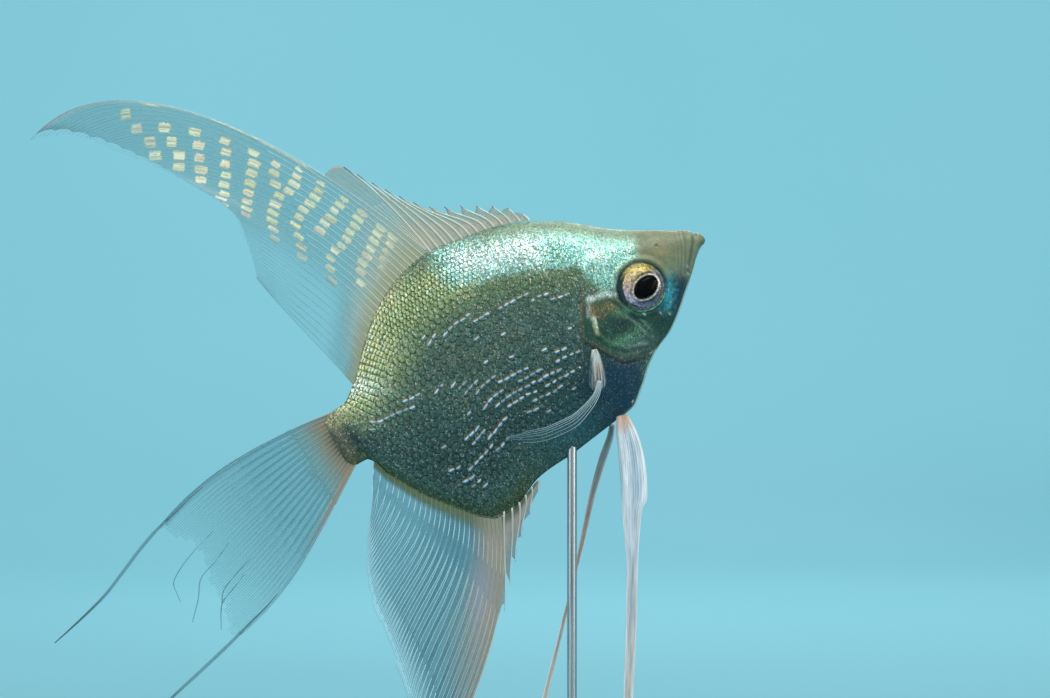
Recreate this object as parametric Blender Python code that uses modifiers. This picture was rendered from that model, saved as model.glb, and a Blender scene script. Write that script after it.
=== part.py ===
"""Freshwater angelfish, life size, held by a plain display stand. Metres, +Z up, nose towards +X."""

import math

import bmesh
import bpy
from mathutils import Euler, Matrix, Vector

MM = 0.001
SIDES = ((-1, "right"), (1, "left"))
SIDEWAYS = Vector((0, 1, 0))

# Driving dimensions, in millimetres. The fish's own frame starts at the snout tip, with x forward and z up.
PITCH_DEGREES = 29.0
SNOUT_OVER_STAND = (31.7, 0.0, 126.5)
JOINT_GAP = 0.3
FIN_GAP = 0.35
FIN_THICKNESS = 0.55
CUT_REACH = 12.0  # more than half the body's thickness

EYE_CENTRE = (-13.8, -2.3)
EYE_RADIUS = 4.35
EYE_INNER_DEPTH = 2.5
EYE_RIM = 4.6
EYE_DOME = 5.6
EYE_TURN_DEGREES = 8.0
EYE_SOCKET_DEPTH = 2.25
EYE_SOCKET_TOP = 9.0
# How far the eye's face has dropped from its dome, against the radius.
EYE_FACE = [(0.0, 0.0), (1.1, 0.05), (2.1, 0.22), (3.1, 0.5), (3.9, 0.85), (4.35, 1.3)]
EYE_SHOULDER = 3.4

STAND_BASE_SIZE = (84.0, 56.0, 8.0)
STAND_CORNER_RADIUS = 6.0
STAND_EDGE_RADIUS = 1.0
STAND_ROD_X = 7.7
STAND_ROD_RADIUS = 0.9
STAND_ROD_TOP = 88.6
STAND_COLLAR_RADIUS = 4.0
STAND_COLLAR_HEIGHT = 2.4
STAND_COLLAR_BEVEL = 0.8
STAND_SOCKET_DEPTH = 12.0

# Outline of the body against x: back with the scaly dorsal base, and belly with the scaly anal base.
BACK_OUTLINE = [
    (-75.6, 5.3), (-72.4, 5.5), (-69.3, 7.6), (-67.2, 9.6), (-64.3, 12.8), (-61.2, 15.7), (-57.7, 18.3),
    (-53.5, 20.5), (-48.7, 21.9), (-45.2, 22.4), (-38.6, 21.6), (-34.1, 20.8), (-29.6, 19.5), (-25.5, 17.7),
    (-21.6, 15.6), (-18.0, 13.0), (-14.5, 10.2), (-10.7, 7.8), (-6.1, 5.2), (-3.4, 3.5), (-1.6, 2.6),
    (-0.9, 1.7), (-0.3, 1.1), (0.0, 0.5),
]
BELLY_OUTLINE = [
    (-75.6, -5.9), (-73.6, -5.9), (-72.6, -6.8), (-71.4, -10.2), (-70.0, -12.7), (-68.0, -16.1),
    (-65.4, -19.4), (-62.9, -22.4), (-60.4, -25.2), (-57.8, -26.8), (-54.6, -26.9), (-51.8, -25.9),
    (-47.6, -24.1), (-44.5, -23.6), (-40.2, -23.3), (-35.3, -22.6), (-30.6, -21.9), (-26.5, -21.3),
    (-23.0, -18.8), (-19.9, -15.9), (-17.3, -14.1), (-14.0, -12.6), (-11.5, -10.9), (-7.6, -7.5),
    (-5.3, -5.3), (-2.2, -2.3), (-0.8, -1.1), (0.0, -0.4),
]
HALF_WIDTHS = [
    (-75.6, 1.25), (-72.0, 1.6), (-68.0, 2.2), (-62.0, 3.2), (-55.0, 4.4), (-47.0, 5.4), (-39.0, 6.0),
    (-31.0, 6.3), (-26.0, 6.2), (-20.0, 5.6), (-14.0, 4.85), (-10.0, 4.2), (-6.0, 3.3), (-3.0, 2.45),
    (-1.0, 1.6), (0.0, 0.7),
]
SECTION_SHARPNESS = [
    (-75.6, 1.15), (-66.0, 1.5), (-45.0, 1.55), (-28.0, 1.4), (-16.0, 1.25), (-4.0, 1.1), (0.0, 1.0),
]
STATIONS = [
    0.0, -0.4, -0.95, -1.7, -2.7, -4.0, -5.6, -7.6, -9.9, -12.4, -15.0, -17.3, -19.6, -22.2, -24.8, -27.4,
    -30.2, -33.2, -36.4, -39.8, -43.2, -46.6, -50.0, -53.2, -56.2, -59.0, -61.6, -64.0, -66.2, -68.2,
    -69.9, -71.3, -72.5, -73.9, -75.6,
]
RING_POINTS = 28

# Where the head ends: down the gill cover's rear edge, then forward under it to the throat.
GILL_LINE = [
    (-20.5, 24.0), (-21.4, 14.0), (-22.8, 7.5), (-24.3, 2.0), (-26.6, -2.5), (-28.7, -6.0), (-27.6, -7.6),
    (-25.5, -10.4), (-23.7, -12.9), (-21.2, -14.1), (-18.4, -14.2), (-17.0, -14.4), (-15.6, -17.5),
]
GILL_COVER_OUTLINE = [
    (-19.4, 1.2), (-21.5, 2.2), (-24.6, 2.0), (-27.5, -1.8), (-30.0, -5.8), (-28.6, -8.0), (-26.2, -11.0),
    (-24.3, -13.2), (-21.3, -13.4), (-18.4, -13.2), (-17.5, -11.2), (-19.2, -7.0), (-19.9, -3.6),
]
GILL_COVER_INNER = 3.3
HEAD_FRONT = [(6.0, -17.5), (6.0, 24.0)]
TRUNK_UNDER_TAIL = (-74.0, -34.0)
TRUNK_UNDER_THROAT = (-17.0, -34.0)
TRUNK_OVER_BACK = [(-70.0, 30.0), (-30.0, 30.0)]
STALK_REAR = [(-80.0, -14.0), (-80.0, 14.0)]
STALK_LINE = [(-69.0, 14.0), (-69.9, 7.5), (-72.7, -7.5), (-74.6, -14.0)]
MOUTH_LINE = [(-0.5, 2.6), (-1.2, 1.3), (-3.2, -1.4), (-5.6, -4.1), (-7.6, -6.3), (-8.7, -9.5)]
JAW_FRONT = [(-8.7, -16.0), (6.0, -16.0), (6.0, 3.4)]

# Tips of the fins' rays, from the first ray to the last, and where along the body their bases run.
DORSAL_SPINES = 13
DORSAL_SPINE_BASES = (-26.4, -45.0)
DORSAL_RAYS = 19
DORSAL_BASES = (-45.6, -69.0)
DORSAL_SPINE_TIPS = [
    (-26.9, 19.9), (-29.1, 22.5), (-32.0, 24.3), (-35.6, 26.3), (-39.8, 28.3), (-42.3, 30.2), (-44.6, 33.0),
    (-48.0, 37.9), (-51.1, 42.9),
]
DORSAL_TIPS = [
    (-97.5, 75.4), (-94.4, 74.4), (-88.9, 70.0), (-82.1, 61.6), (-76.2, 52.3), (-73.9, 48.3), (-72.7, 44.0),
    (-73.4, 39.6), (-75.1, 34.1),
]
ANAL_SPINES = 6
ANAL_SPINE_BASES = (-48.0, -56.6)
ANAL_RAYS = 19
ANAL_BASES = (-57.2, -72.5)
ANAL_SPINE_TIPS = [
    (-48.8, -25.9), (-50.7, -27.6), (-52.9, -29.5), (-55.9, -32.0), (-59.4, -35.8), (-64.6, -41.6),
]
ANAL_TIPS = [
    (-101.5, -74.3), (-96.4, -67.6), (-91.6, -59.6), (-88.6, -52.6), (-87.4, -46.0), (-86.8, -39.0),
    (-86.2, -31.6), (-84.2, -24.8), (-81.8, -20.2), (-79.7, -16.9),
]
TAIL_RAYS = 15
TAIL_BASE_X = -75.95
TAIL_BASE_TOP = 5.0
TAIL_BASE_HEIGHT = 10.6
TAIL_TIPS = [
    (-112.6, 2.3), (-112.2, -0.6), (-110.6, -4.9), (-110.9, -9.6), (-111.5, -14.4), (-111.1, -18.4),
    (-110.3, -22.3),
]
UPPER_STREAMER = [(-113.3, 0.8), (-119.0, -1.3), (-126.0, -3.9), (-133.5, -5.9), (-140.4, -7.4)]
LOWER_STREAMER = [(-111.8, -21.9), (-118.0, -23.9), (-125.0, -25.9), (-131.0, -27.7), (-137.0, -29.6)]
STREAMER_WIDTHS = [2.4, 1.5, 1.1, 0.8, 0.6]
STREAMER_DEPTH = FIN_THICKNESS + 0.1
RIGHT_PELVIC = [
    (-29.2, -22.6), (-30.2, -26.4), (-32.6, -32.0), (-36.8, -39.4), (-41.4, -47.6), (-47.0, -57.2),
    (-53.0, -67.0), (-60.5, -80.6), (-68.3, -94.6),
]
LEFT_PELVIC = [
    (-32.0, -23.2), (-35.8, -26.8), (-40.3, -31.3), (-46.0, -37.8), (-53.0, -45.6), (-61.0, -54.3),
    (-69.5, -63.4), (-78.0, -72.2), (-86.0, -80.2),
]
PELVIC_WIDTHS = [2.6, 4.5, 4.2, 2.6, 2.1, 1.9, 1.5, 1.1, 0.8]
PELVIC_DEPTHS = [1.5, 1.3, 1.1, 0.9, 0.8, 0.7, 0.6]
PELVIC_ROOT_Y = 1.3
# Fold line of a pectoral fin: place on the side, and how far it stands off the flank.
PECTORAL_BLADE = [
    (-27.8, -9.2, 1.0), (-28.7, -11.6, 1.2), (-29.8, -14.0, 1.5), (-32.2, -15.5, 2.0), (-36.0, -16.0, 2.6),
    (-40.4, -15.9, 3.1), (-44.6, -15.1, 3.5), (-48.7, -13.7, 3.9),
]
PECTORAL_WIDTHS = [1.6, 2.4, 2.4, 2.7, 3.3, 3.3, 2.7, 1.4]
PECTORAL_DEPTHS = [1.0, 1.1, 1.1, 1.0, 0.8, 0.7, 0.6, 0.55]
PECTORAL_TILT_DEGREES = 35.0


def smooth(points, x):
    """Value at x of a smooth curve through points sorted by their first number, without overshoot."""
    if x <= points[0][0]:
        return points[0][1]
    if x >= points[-1][0]:
        return points[-1][1]
    steps = [(b[1] - a[1]) / (b[0] - a[0]) for a, b in zip(points, points[1:])]

    def slope(i):
        if i == 0:
            return steps[0]
        if i == len(points) - 1:
            return steps[-1]
        before, after = steps[i - 1], steps[i]
        return 0.0 if before * after <= 0 else 2 * before * after / (before + after)

    i = max(k for k in range(len(points) - 1) if points[k][0] <= x)
    width = points[i + 1][0] - points[i][0]
    t = (x - points[i][0]) / width
    return (
        (1 + 2 * t) * (1 - t) ** 2 * points[i][1]
        + t * (1 - t) ** 2 * width * slope(i)
        + t * t * (3 - 2 * t) * points[i + 1][1]
        + t * t * (t - 1) * width * slope(i + 1)
    )


def along(points, fraction):
    """Point at a fraction of the length of a smooth path through points in the plane."""
    corners = [Vector(p) for p in points]
    lengths = [0.0]
    for a, b in zip(corners, corners[1:]):
        lengths.append(lengths[-1] + (b - a).length)
    here = fraction * lengths[-1]
    return Vector([smooth([(s, c[axis]) for s, c in zip(lengths, corners)], here) for axis in (0, 1)])


def bezier(a, b, c, d, t):
    return a * (1 - t) ** 3 + b * 3 * t * (1 - t) ** 2 + c * 3 * t * t * (1 - t) + d * t ** 3


def mesh_object(name, build, material=None, collection=None):
    """Object with the mesh that build makes in millimetres, hung on the fish."""
    shape = bmesh.new()
    build(shape)
    bmesh.ops.scale(shape, vec=(MM, MM, MM), verts=shape.verts)
    mesh = bpy.data.meshes.new(name)
    shape.to_mesh(mesh)
    shape.free()
    piece = bpy.data.objects.new(name, mesh)
    (collection or model).objects.link(piece)
    if material:
        mesh.materials.append(material)
    return piece


def finish(name, colour, roughness, metallic=0.0):
    material = bpy.data.materials.new(name)
    material.use_nodes = True
    shader = material.node_tree.nodes["Principled BSDF"]
    shader.inputs["Base Color"].default_value = (*colour, 1.0)
    shader.inputs["Roughness"].default_value = roughness
    shader.inputs["Metallic"].default_value = metallic
    return material


def shade(piece):
    piece.data.shade_smooth()
    piece.data.set_sharp_from_angle(angle=math.radians(40))


# Body: rings across the fish, cut into head, gill covers, jaw, trunk and tail stalk.


def side_of_body(x, z):
    """Half the body's thickness at a place on its side."""
    top, bottom = smooth(BACK_OUTLINE, x), smooth(BELLY_OUTLINE, x)
    height = (z - (top + bottom) / 2) / ((top - bottom) / 2)
    return smooth(HALF_WIDTHS, x) * max(0.0, 1 - height * height) ** (smooth(SECTION_SHARPNESS, x) / 2)


def body_rings(shape):
    rings = []
    for x in STATIONS:
        top, bottom = smooth(BACK_OUTLINE, x), smooth(BELLY_OUTLINE, x)
        width, power = smooth(HALF_WIDTHS, x), smooth(SECTION_SHARPNESS, x)
        ring = []
        for k in range(RING_POINTS):
            turn = 2 * math.pi * k / RING_POINTS
            side = math.sin(turn)
            y = math.copysign(width * abs(side) ** power, side)
            ring.append(shape.verts.new((x, y, (top + bottom) / 2 + (top - bottom) / 2 * math.cos(turn))))
        rings.append(ring)
    for ahead, behind in zip(rings, rings[1:]):
        for k in range(RING_POINTS):
            after = (k + 1) % RING_POINTS
            shape.faces.new((ahead[k], ahead[after], behind[after], behind[k]))
    shape.faces.new(reversed(rings[0]))
    shape.faces.new(rings[-1])
    bmesh.ops.recalc_face_normals(shape, faces=shape.faces)


def prism(outline, near, far):
    """Builder of an outline in the x-z plane, pushed through from y = near to y = far."""

    def build(shape):
        ends = [[shape.verts.new((x, y, z)) for x, z in outline] for y in (near, far)]
        for k in range(len(outline)):
            after = (k + 1) % len(outline)
            shape.faces.new((ends[0][k], ends[0][after], ends[1][after], ends[1][k]))
        for end in ends:
            shape.faces.new(end)
        bmesh.ops.triangulate(shape, faces=[f for f in shape.faces if len(f.verts) > 4])
        bmesh.ops.recalc_face_normals(shape, faces=shape.faces)

    return build


def grown(outline, gap):
    """The closed outline moved outwards by the gap."""
    area = sum(a[0] * b[1] - b[0] * a[1] for a, b in zip(outline, outline[1:] + outline[:1]))
    moved = []
    for before, here, after in zip(outline[-1:] + outline[:-1], outline, outline[1:] + outline[:1]):
        run = (Vector(after) - Vector(before)).normalized()
        outward = Vector((run.y, -run.x)) * math.copysign(gap, area)
        moved.append(tuple(Vector(here) + outward))
    return moved


def shifted(line, step):
    return [(x + step, z) for x, z in line]


def cutter(name, build):
    piece = mesh_object(name, build, collection=cutters)
    piece.hide_render = True
    piece.display_type = "WIRE"
    piece.parent = fish
    return piece


def cut(piece, operation, tool):
    modifier = piece.modifiers.new(f"{operation.lower()} {tool.name}", "BOOLEAN")
    modifier.operation = operation
    modifier.object = tool
    modifier.solver = "EXACT"


def body_piece(name, material):
    piece = bpy.data.objects.new(name, body_mesh)
    model.objects.link(piece)
    piece.parent = fish
    piece.material_slots[0].link = "OBJECT"
    piece.material_slots[0].material = material
    return piece


def turned(name, profile, steps, material=None, collection=None):
    """Solid of revolution about the object's own Z axis. The profile runs from its top to its bottom."""

    def build(shape):
        points = [shape.verts.new((radius, 0, height)) for radius, height in profile]
        for a, b in zip(points, points[1:]):
            shape.edges.new((a, b))

    piece = mesh_object(name, build, material, collection)
    screw = piece.modifiers.new("turn", "SCREW")
    screw.steps = screw.render_steps = steps
    screw.use_merge_vertices = True
    screw.merge_threshold = 0.00001
    screw.use_smooth_shade = True
    return piece


def ribbon(name, path, widths, depths, facing, sides, material):
    """Closed tapering limb along a path, widest across the facing direction, in the fish's frame."""

    def build(shape):
        rings = []
        for i, here in enumerate(path):
            run = (path[min(i + 1, len(path) - 1)] - path[max(i - 1, 0)]).normalized()
            across = run.cross(facing).normalized()
            outward = across.cross(run)
            rings.append([])
            for k in range(sides):
                turn = 2 * math.pi * k / sides
                aside = across * (widths[i] / 2 * math.cos(turn))
                lifted = outward * (depths[i] / 2 * math.sin(turn))
                rings[-1].append(shape.verts.new(here + aside + lifted))
        for near, far in zip(rings, rings[1:]):
            for k in range(sides):
                after = (k + 1) % sides
                shape.faces.new((near[k], near[after], far[after], far[k]))
        shape.faces.new(rings[0])
        shape.faces.new(rings[-1])
        bmesh.ops.recalc_face_normals(shape, faces=shape.faces)

    piece = mesh_object(name, build, material)
    piece.parent = fish
    shade(piece)
    return piece


def fin_sheet(name, rays, material):
    """Membrane through rays of equal point counts, thickened evenly to both sides."""

    def build(shape):
        rows = [[shape.verts.new(spot) for spot in ray] for ray in rays]
        for ahead, behind in zip(rows, rows[1:]):
            for k in range(len(ahead) - 1):
                shape.faces.new((ahead[k], ahead[k + 1], behind[k + 1], behind[k]))

    piece = mesh_object(name, build, material)
    piece.parent = fish
    solid = piece.modifiers.new("thickness", "SOLIDIFY")
    solid.thickness = FIN_THICKNESS * MM
    solid.offset = 0
    return piece


def heading(degrees):
    return Vector((math.cos(math.radians(degrees)), math.sin(math.radians(degrees))))


def off_outline(points, x, clear):
    """Point a clear distance outside the body's outline; clear is negative under the belly."""
    run = Vector((0.2, smooth(points, x + 0.1) - smooth(points, x - 0.1))).normalized()
    return Vector((x, smooth(points, x))) + Vector((-run.y, run.x)) * clear


def ray_curve(base, tip, start, end, pull, count, sway):
    """Points of one ray from its base to its tip, leaving along start and arriving along end, in degrees."""
    reach = (tip - base).length * pull
    points = []
    for k in range(count):
        t = k / (count - 1)
        spot = bezier(base, base + heading(start) * reach, tip - heading(end) * reach, tip, t)
        points.append(Vector((spot.x, sway * t * t, spot.y)))
    return points


def between(ends, fraction):
    return ends[0] + (ends[1] - ends[0]) * fraction


def spiny_rays(outline, clear, bases, tips, spines, leans, sway):
    """Rays of a spiny fin front: a spine, a notch in the membrane, a spine and so on."""
    rays = []
    for k in range(2 * spines - 1):
        u = k / (2 * spines - 2)
        base = off_outline(outline, between(bases, u), clear)
        tip = along(tips, u)
        if k % 2:
            tip = base.lerp(tip, 0.7)
        lean = between(leans, u)
        rays.append(ray_curve(base, tip, lean, lean, 0.3, 4, sway * u))
    return rays


def streamer_path(points, sway_from, sway_to, count):
    path = []
    for k in range(count):
        t = k / (count - 1)
        spot = along(points, t)
        path.append(Vector((spot.x, sway_from + (sway_to - sway_from) * t, spot.y)))
    return path


def spaced(values, count):
    """A list of widths read smoothly at evenly spaced places."""
    last = len(values) - 1
    return [smooth(list(enumerate(values)), last * k / (count - 1)) for k in range(count)]


def eye(side, word):
    profile = [(radius, EYE_DOME - drop) for radius, drop in EYE_FACE]
    profile += [(EYE_RADIUS, EYE_SHOULDER), (EYE_RADIUS - 0.5, EYE_INNER_DEPTH + 0.2), (0.0, EYE_INNER_DEPTH)]
    piece = turned(f"eye_{word}", profile, 28, eye_finish)
    piece.parent = fish
    piece.matrix_local = eye_place(side)
    return piece


def eye_place(side):
    """Turns the eye's own Z axis out of the head, a little forward, about the eye's place on the mid-plane."""
    turn = Euler((-side * math.pi / 2, 0, -side * math.radians(EYE_TURN_DEGREES)), "XYZ").to_matrix().to_4x4()
    shift = Vector((EYE_CENTRE[0] * MM, 0, EYE_CENTRE[1] * MM))
    return Matrix.Translation(shift) @ turn


for leftover in list(bpy.data.objects):
    bpy.data.objects.remove(leftover)

model = bpy.data.collections.new("freshwater_angelfish")
bpy.context.scene.collection.children.link(model)
cutters = bpy.data.collections.new("cutters")
bpy.context.scene.collection.children.link(cutters)

fish = bpy.data.objects.new("fish_place", None)
model.objects.link(fish)
fish.location = [v * MM for v in SNOUT_OVER_STAND]
fish.rotation_euler = (0, -math.radians(PITCH_DEGREES), 0)

flank_finish = finish("flank scales", (0.16, 0.24, 0.21), 0.35, 0.4)
head_finish = finish("head skin", (0.30, 0.42, 0.34), 0.35, 0.3)
jaw_finish = finish("jaw skin", (0.36, 0.38, 0.28), 0.45)
stalk_finish = finish("tail stalk scales", (0.20, 0.26, 0.24), 0.35, 0.4)
fin_finish = finish("fin membrane", (0.62, 0.70, 0.68), 0.4)
spine_finish = finish("fin spines", (0.45, 0.45, 0.36), 0.4)
pelvic_finish = finish("pelvic fin", (0.78, 0.82, 0.84), 0.4)
eye_finish = finish("eye", (0.05, 0.05, 0.06), 0.08)
wood_finish = finish("stand wood", (0.10, 0.055, 0.03), 0.4)
steel_finish = finish("stand steel", (0.6, 0.6, 0.6), 0.25, 1.0)

# Body pieces, each the whole body's mesh cut to its own region.
whole = mesh_object("whole_body", body_rings, flank_finish)
body_mesh = whole.data
bpy.data.objects.remove(whole)
body_mesh.name = "body"
body_mesh.shade_smooth()
body_mesh.set_sharp_from_angle(angle=math.radians(50))

half_gap = JOINT_GAP / 2
head_region = shifted(GILL_LINE, half_gap) + HEAD_FRONT
trunk_region = shifted(GILL_LINE, -half_gap) + [TRUNK_UNDER_THROAT, TRUNK_UNDER_TAIL]
trunk_region += list(reversed(shifted(STALK_LINE, half_gap))) + TRUNK_OVER_BACK
stalk_region = shifted(STALK_LINE, -half_gap) + STALK_REAR
jaw_region = MOUTH_LINE + JAW_FRONT

head = body_piece("head", head_finish)
head_block = cutter("head_region", prism(head_region, -CUT_REACH, CUT_REACH))
cut(head, "INTERSECT", head_block)
jaw_room = cutter("jaw_room", prism(grown(jaw_region, JOINT_GAP), -CUT_REACH, CUT_REACH))
cut(head, "DIFFERENCE", jaw_room)

lower_jaw = body_piece("lower_jaw", jaw_finish)
cut(lower_jaw, "INTERSECT", cutter("jaw_region", prism(jaw_region, -CUT_REACH, CUT_REACH)))

trunk = body_piece("trunk", flank_finish)
cut(trunk, "INTERSECT", cutter("trunk_region", prism(trunk_region, -CUT_REACH, CUT_REACH)))

stalk = body_piece("tail_stalk", stalk_finish)
cut(stalk, "INTERSECT", cutter("stalk_region", prism(stalk_region, -CUT_REACH, CUT_REACH)))

socket_profile = [
    (0.0, EYE_SOCKET_TOP), (EYE_RIM, EYE_SOCKET_TOP), (EYE_RIM, EYE_SOCKET_DEPTH), (0.0, EYE_SOCKET_DEPTH),
]
for side, word in SIDES:
    cover = body_piece(f"gill_cover_{word}", head_finish)
    block = prism(GILL_COVER_OUTLINE, side * GILL_COVER_INNER, side * CUT_REACH)
    cut(cover, "INTERSECT", cutter(f"cover_region_{word}", block))
    cut(cover, "INTERSECT", head_block)
    room = prism(grown(GILL_COVER_OUTLINE, JOINT_GAP), side * (GILL_COVER_INNER - JOINT_GAP), side * CUT_REACH)
    cut(head, "DIFFERENCE", cutter(f"cover_room_{word}", room))
    socket = turned(f"eye_socket_{word}", socket_profile, 28, collection=cutters)
    socket.hide_render = True
    socket.display_type = "WIRE"
    socket.parent = fish
    socket.matrix_local = eye_place(side)
    cut(head, "DIFFERENCE", socket)
    eye(side, word)

# Dorsal fin: spines along the back, then the long swept sail of soft rays.
spines = spiny_rays(BACK_OUTLINE, FIN_GAP, DORSAL_SPINE_BASES, DORSAL_SPINE_TIPS, DORSAL_SPINES, (96, 106), 0.3)
fin_sheet("dorsal_fin_spines", spines, spine_finish)
sail = []
for k in range(DORSAL_RAYS):
    u = k / (DORSAL_RAYS - 1)
    base = off_outline(BACK_OUTLINE, between(DORSAL_BASES, u), FIN_GAP)
    tip = along(DORSAL_TIPS, 1 - (1 - u) ** 1.6)
    sail.append(ray_curve(base, tip, 112 - 10 * u, 98 + 96 * (1 - u) ** 1.5, 0.36, 11, -2.0))
fin_sheet("dorsal_fin_sail", sail, fin_finish)

# Anal fin: a short stair of spines, then the soft rays sweeping down and back.
spines = spiny_rays(BELLY_OUTLINE, -FIN_GAP, ANAL_SPINE_BASES, ANAL_SPINE_TIPS, ANAL_SPINES, (262, 241), 0.2)
fin_sheet("anal_fin_spines", spines, spine_finish)
sail = []
for k in range(ANAL_RAYS):
    u = k / (ANAL_RAYS - 1)
    base = off_outline(BELLY_OUTLINE, between(ANAL_BASES, u), -FIN_GAP)
    tip = along(ANAL_TIPS, 1 - (1 - u) ** 1.5)
    sail.append(ray_curve(base, tip, 249 - 8 * u, 228 - 18 * u, 0.36, 10, 2.0))
fin_sheet("anal_fin_sail", sail, fin_finish)

# Tail fin: a fan of rays with a long streamer off its upper and lower corners.
fan = []
for k in range(TAIL_RAYS):
    u = k / (TAIL_RAYS - 1)
    base = Vector((TAIL_BASE_X, TAIL_BASE_TOP - TAIL_BASE_HEIGHT * u))
    tip = along(TAIL_TIPS, u)
    fan.append(ray_curve(base, tip, 172 + 42 * u, 202 - 14 * u, 0.34, 9, 1.6))
fin_sheet("tail_fin", fan, fin_finish)
steps = 8  # along a streamer
for word, line in (("upper", UPPER_STREAMER), ("lower", LOWER_STREAMER)):
    path = streamer_path(line, 1.6, 3.4, steps)
    widths = spaced(STREAMER_WIDTHS, steps)
    ribbon(f"tail_streamer_{word}", path, widths, [STREAMER_DEPTH] * steps, SIDEWAYS, 6, fin_finish)

# Paired fins. The left pelvic fin is the narrower one, half folded.
pelvics = (
    (-1, "right", RIGHT_PELVIC, 4.6, 1.0),
    (1, "left", LEFT_PELVIC, 5.6, 0.62),
)
steps = 14  # along a pelvic fin
for side, word, line, spread, broad in pelvics:
    path = streamer_path(line, 0, 0, steps)
    for k, spot in enumerate(path):
        swing = math.sin(math.pi / 2 * min(1, 1.8 * k / (steps - 1)))
        spot.y = side * between((PELVIC_ROOT_Y, spread), swing)
    widths = [max(w * broad, STREAMER_DEPTH) for w in spaced(PELVIC_WIDTHS, steps)]
    ribbon(f"pelvic_fin_{word}", path, widths, spaced(PELVIC_DEPTHS, steps), SIDEWAYS, 8, pelvic_finish)

tilt = math.radians(PECTORAL_TILT_DEGREES)
for side, word in SIDES:
    path = [Vector((x, side * (side_of_body(x, z) + lift), z)) for x, z, lift in PECTORAL_BLADE]
    facing = Vector((0, math.cos(tilt), -side * math.sin(tilt)))
    ribbon(f"pectoral_fin_{word}", path, PECTORAL_WIDTHS, PECTORAL_DEPTHS, facing, 8, fin_finish)

# Display stand: a flat wooden base and a thin steel rod up into the belly.
shape = bmesh.new()
bmesh.ops.create_cube(shape, size=1.0)
bmesh.ops.scale(shape, vec=[v * MM for v in STAND_BASE_SIZE], verts=shape.verts)
bmesh.ops.translate(shape, vec=(0, 0, STAND_BASE_SIZE[2] / 2 * MM), verts=shape.verts)
upright = [e for e in shape.edges if abs(e.verts[0].co.z - e.verts[1].co.z) > MM]
corner = STAND_CORNER_RADIUS * MM
bmesh.ops.bevel(shape, geom=upright, offset=corner, segments=5, affect="EDGES", profile=0.5)
mesh = bpy.data.meshes.new("stand_base")
shape.to_mesh(mesh)
shape.free()
mesh.materials.append(wood_finish)
stand_base = bpy.data.objects.new("stand_base", mesh)
model.objects.link(stand_base)
rim = stand_base.modifiers.new("eased edges", "BEVEL")
rim.width = STAND_EDGE_RADIUS * MM
rim.segments = 2
rim.limit_method = "ANGLE"
rim.angle_limit = math.radians(60)
shade(stand_base)

collar_foot = STAND_BASE_SIZE[2] + JOINT_GAP
collar_top = collar_foot + STAND_COLLAR_HEIGHT
rod_profile = [
    (0.0, STAND_ROD_TOP),
    (STAND_ROD_RADIUS - 0.3, STAND_ROD_TOP),
    (STAND_ROD_RADIUS, STAND_ROD_TOP - 0.4),
    (STAND_ROD_RADIUS, collar_top),
    (STAND_COLLAR_RADIUS - STAND_COLLAR_BEVEL, collar_top),
    (STAND_COLLAR_RADIUS, collar_top - STAND_COLLAR_BEVEL),
    (STAND_COLLAR_RADIUS, collar_foot),
    (0.0, collar_foot),
]
rod = turned("stand_rod", rod_profile, 20, steel_finish)
rod.location.x = STAND_ROD_X * MM

socket_top = STAND_ROD_TOP + JOINT_GAP
socket_foot = socket_top - STAND_SOCKET_DEPTH
socket_radius = STAND_ROD_RADIUS + JOINT_GAP
socket_profile = [
    (0.0, socket_top),
    (socket_radius, socket_top),
    (socket_radius, socket_foot),
    (0.0, socket_foot),
]
socket = turned("rod_socket", socket_profile, 20, collection=cutters)
socket.hide_render = True
socket.display_type = "WIRE"
socket.location.x = STAND_ROD_X * MM
socket.rotation_euler.z = math.radians(7)  # keeps its corners off the keel's edge
cut(trunk, "DIFFERENCE", socket)
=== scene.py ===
import math

import bpy
import numpy as np
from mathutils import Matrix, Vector


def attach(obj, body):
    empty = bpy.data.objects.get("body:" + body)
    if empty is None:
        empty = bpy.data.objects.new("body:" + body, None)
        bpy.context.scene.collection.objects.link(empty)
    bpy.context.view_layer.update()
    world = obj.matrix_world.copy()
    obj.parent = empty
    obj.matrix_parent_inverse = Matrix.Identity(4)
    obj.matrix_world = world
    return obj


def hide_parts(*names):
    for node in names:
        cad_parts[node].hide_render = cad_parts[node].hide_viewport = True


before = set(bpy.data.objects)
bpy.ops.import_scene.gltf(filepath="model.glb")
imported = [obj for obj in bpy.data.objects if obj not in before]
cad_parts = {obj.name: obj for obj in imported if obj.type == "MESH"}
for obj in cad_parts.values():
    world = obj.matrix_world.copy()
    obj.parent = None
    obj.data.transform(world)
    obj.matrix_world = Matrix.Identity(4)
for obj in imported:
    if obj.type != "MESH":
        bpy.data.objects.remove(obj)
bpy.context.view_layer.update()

# Lengths are in millimetres in the fish's own frame (snout tip at 0, x forward, y to its left, z up).
mm = 0.001
draw = np.random.default_rng(11)
pose = {"pitch": 29.0, "snout": (31.7, 0.0, 126.5)}
bothSides = ((-1, "right"), (1, "left"))


def toWorld(points):
    turn = math.radians(pose["pitch"])
    x, y, z = np.moveaxis(np.asarray(points, float), -1, 0)
    across = pose["snout"][0] + x * math.cos(turn) - z * math.sin(turn)
    upward = pose["snout"][2] + x * math.sin(turn) + z * math.cos(turn)
    return np.stack([across, pose["snout"][1] + y, upward], -1) * mm


def paint(red, green, blue):
    # A colour as a painter names it, 0 to 255, in linear light
    shares = np.array([red, green, blue]) / 255
    return np.where(shares > 0.04045, ((shares + 0.055) / 1.055) ** 2.4, shares / 12.92)


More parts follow.
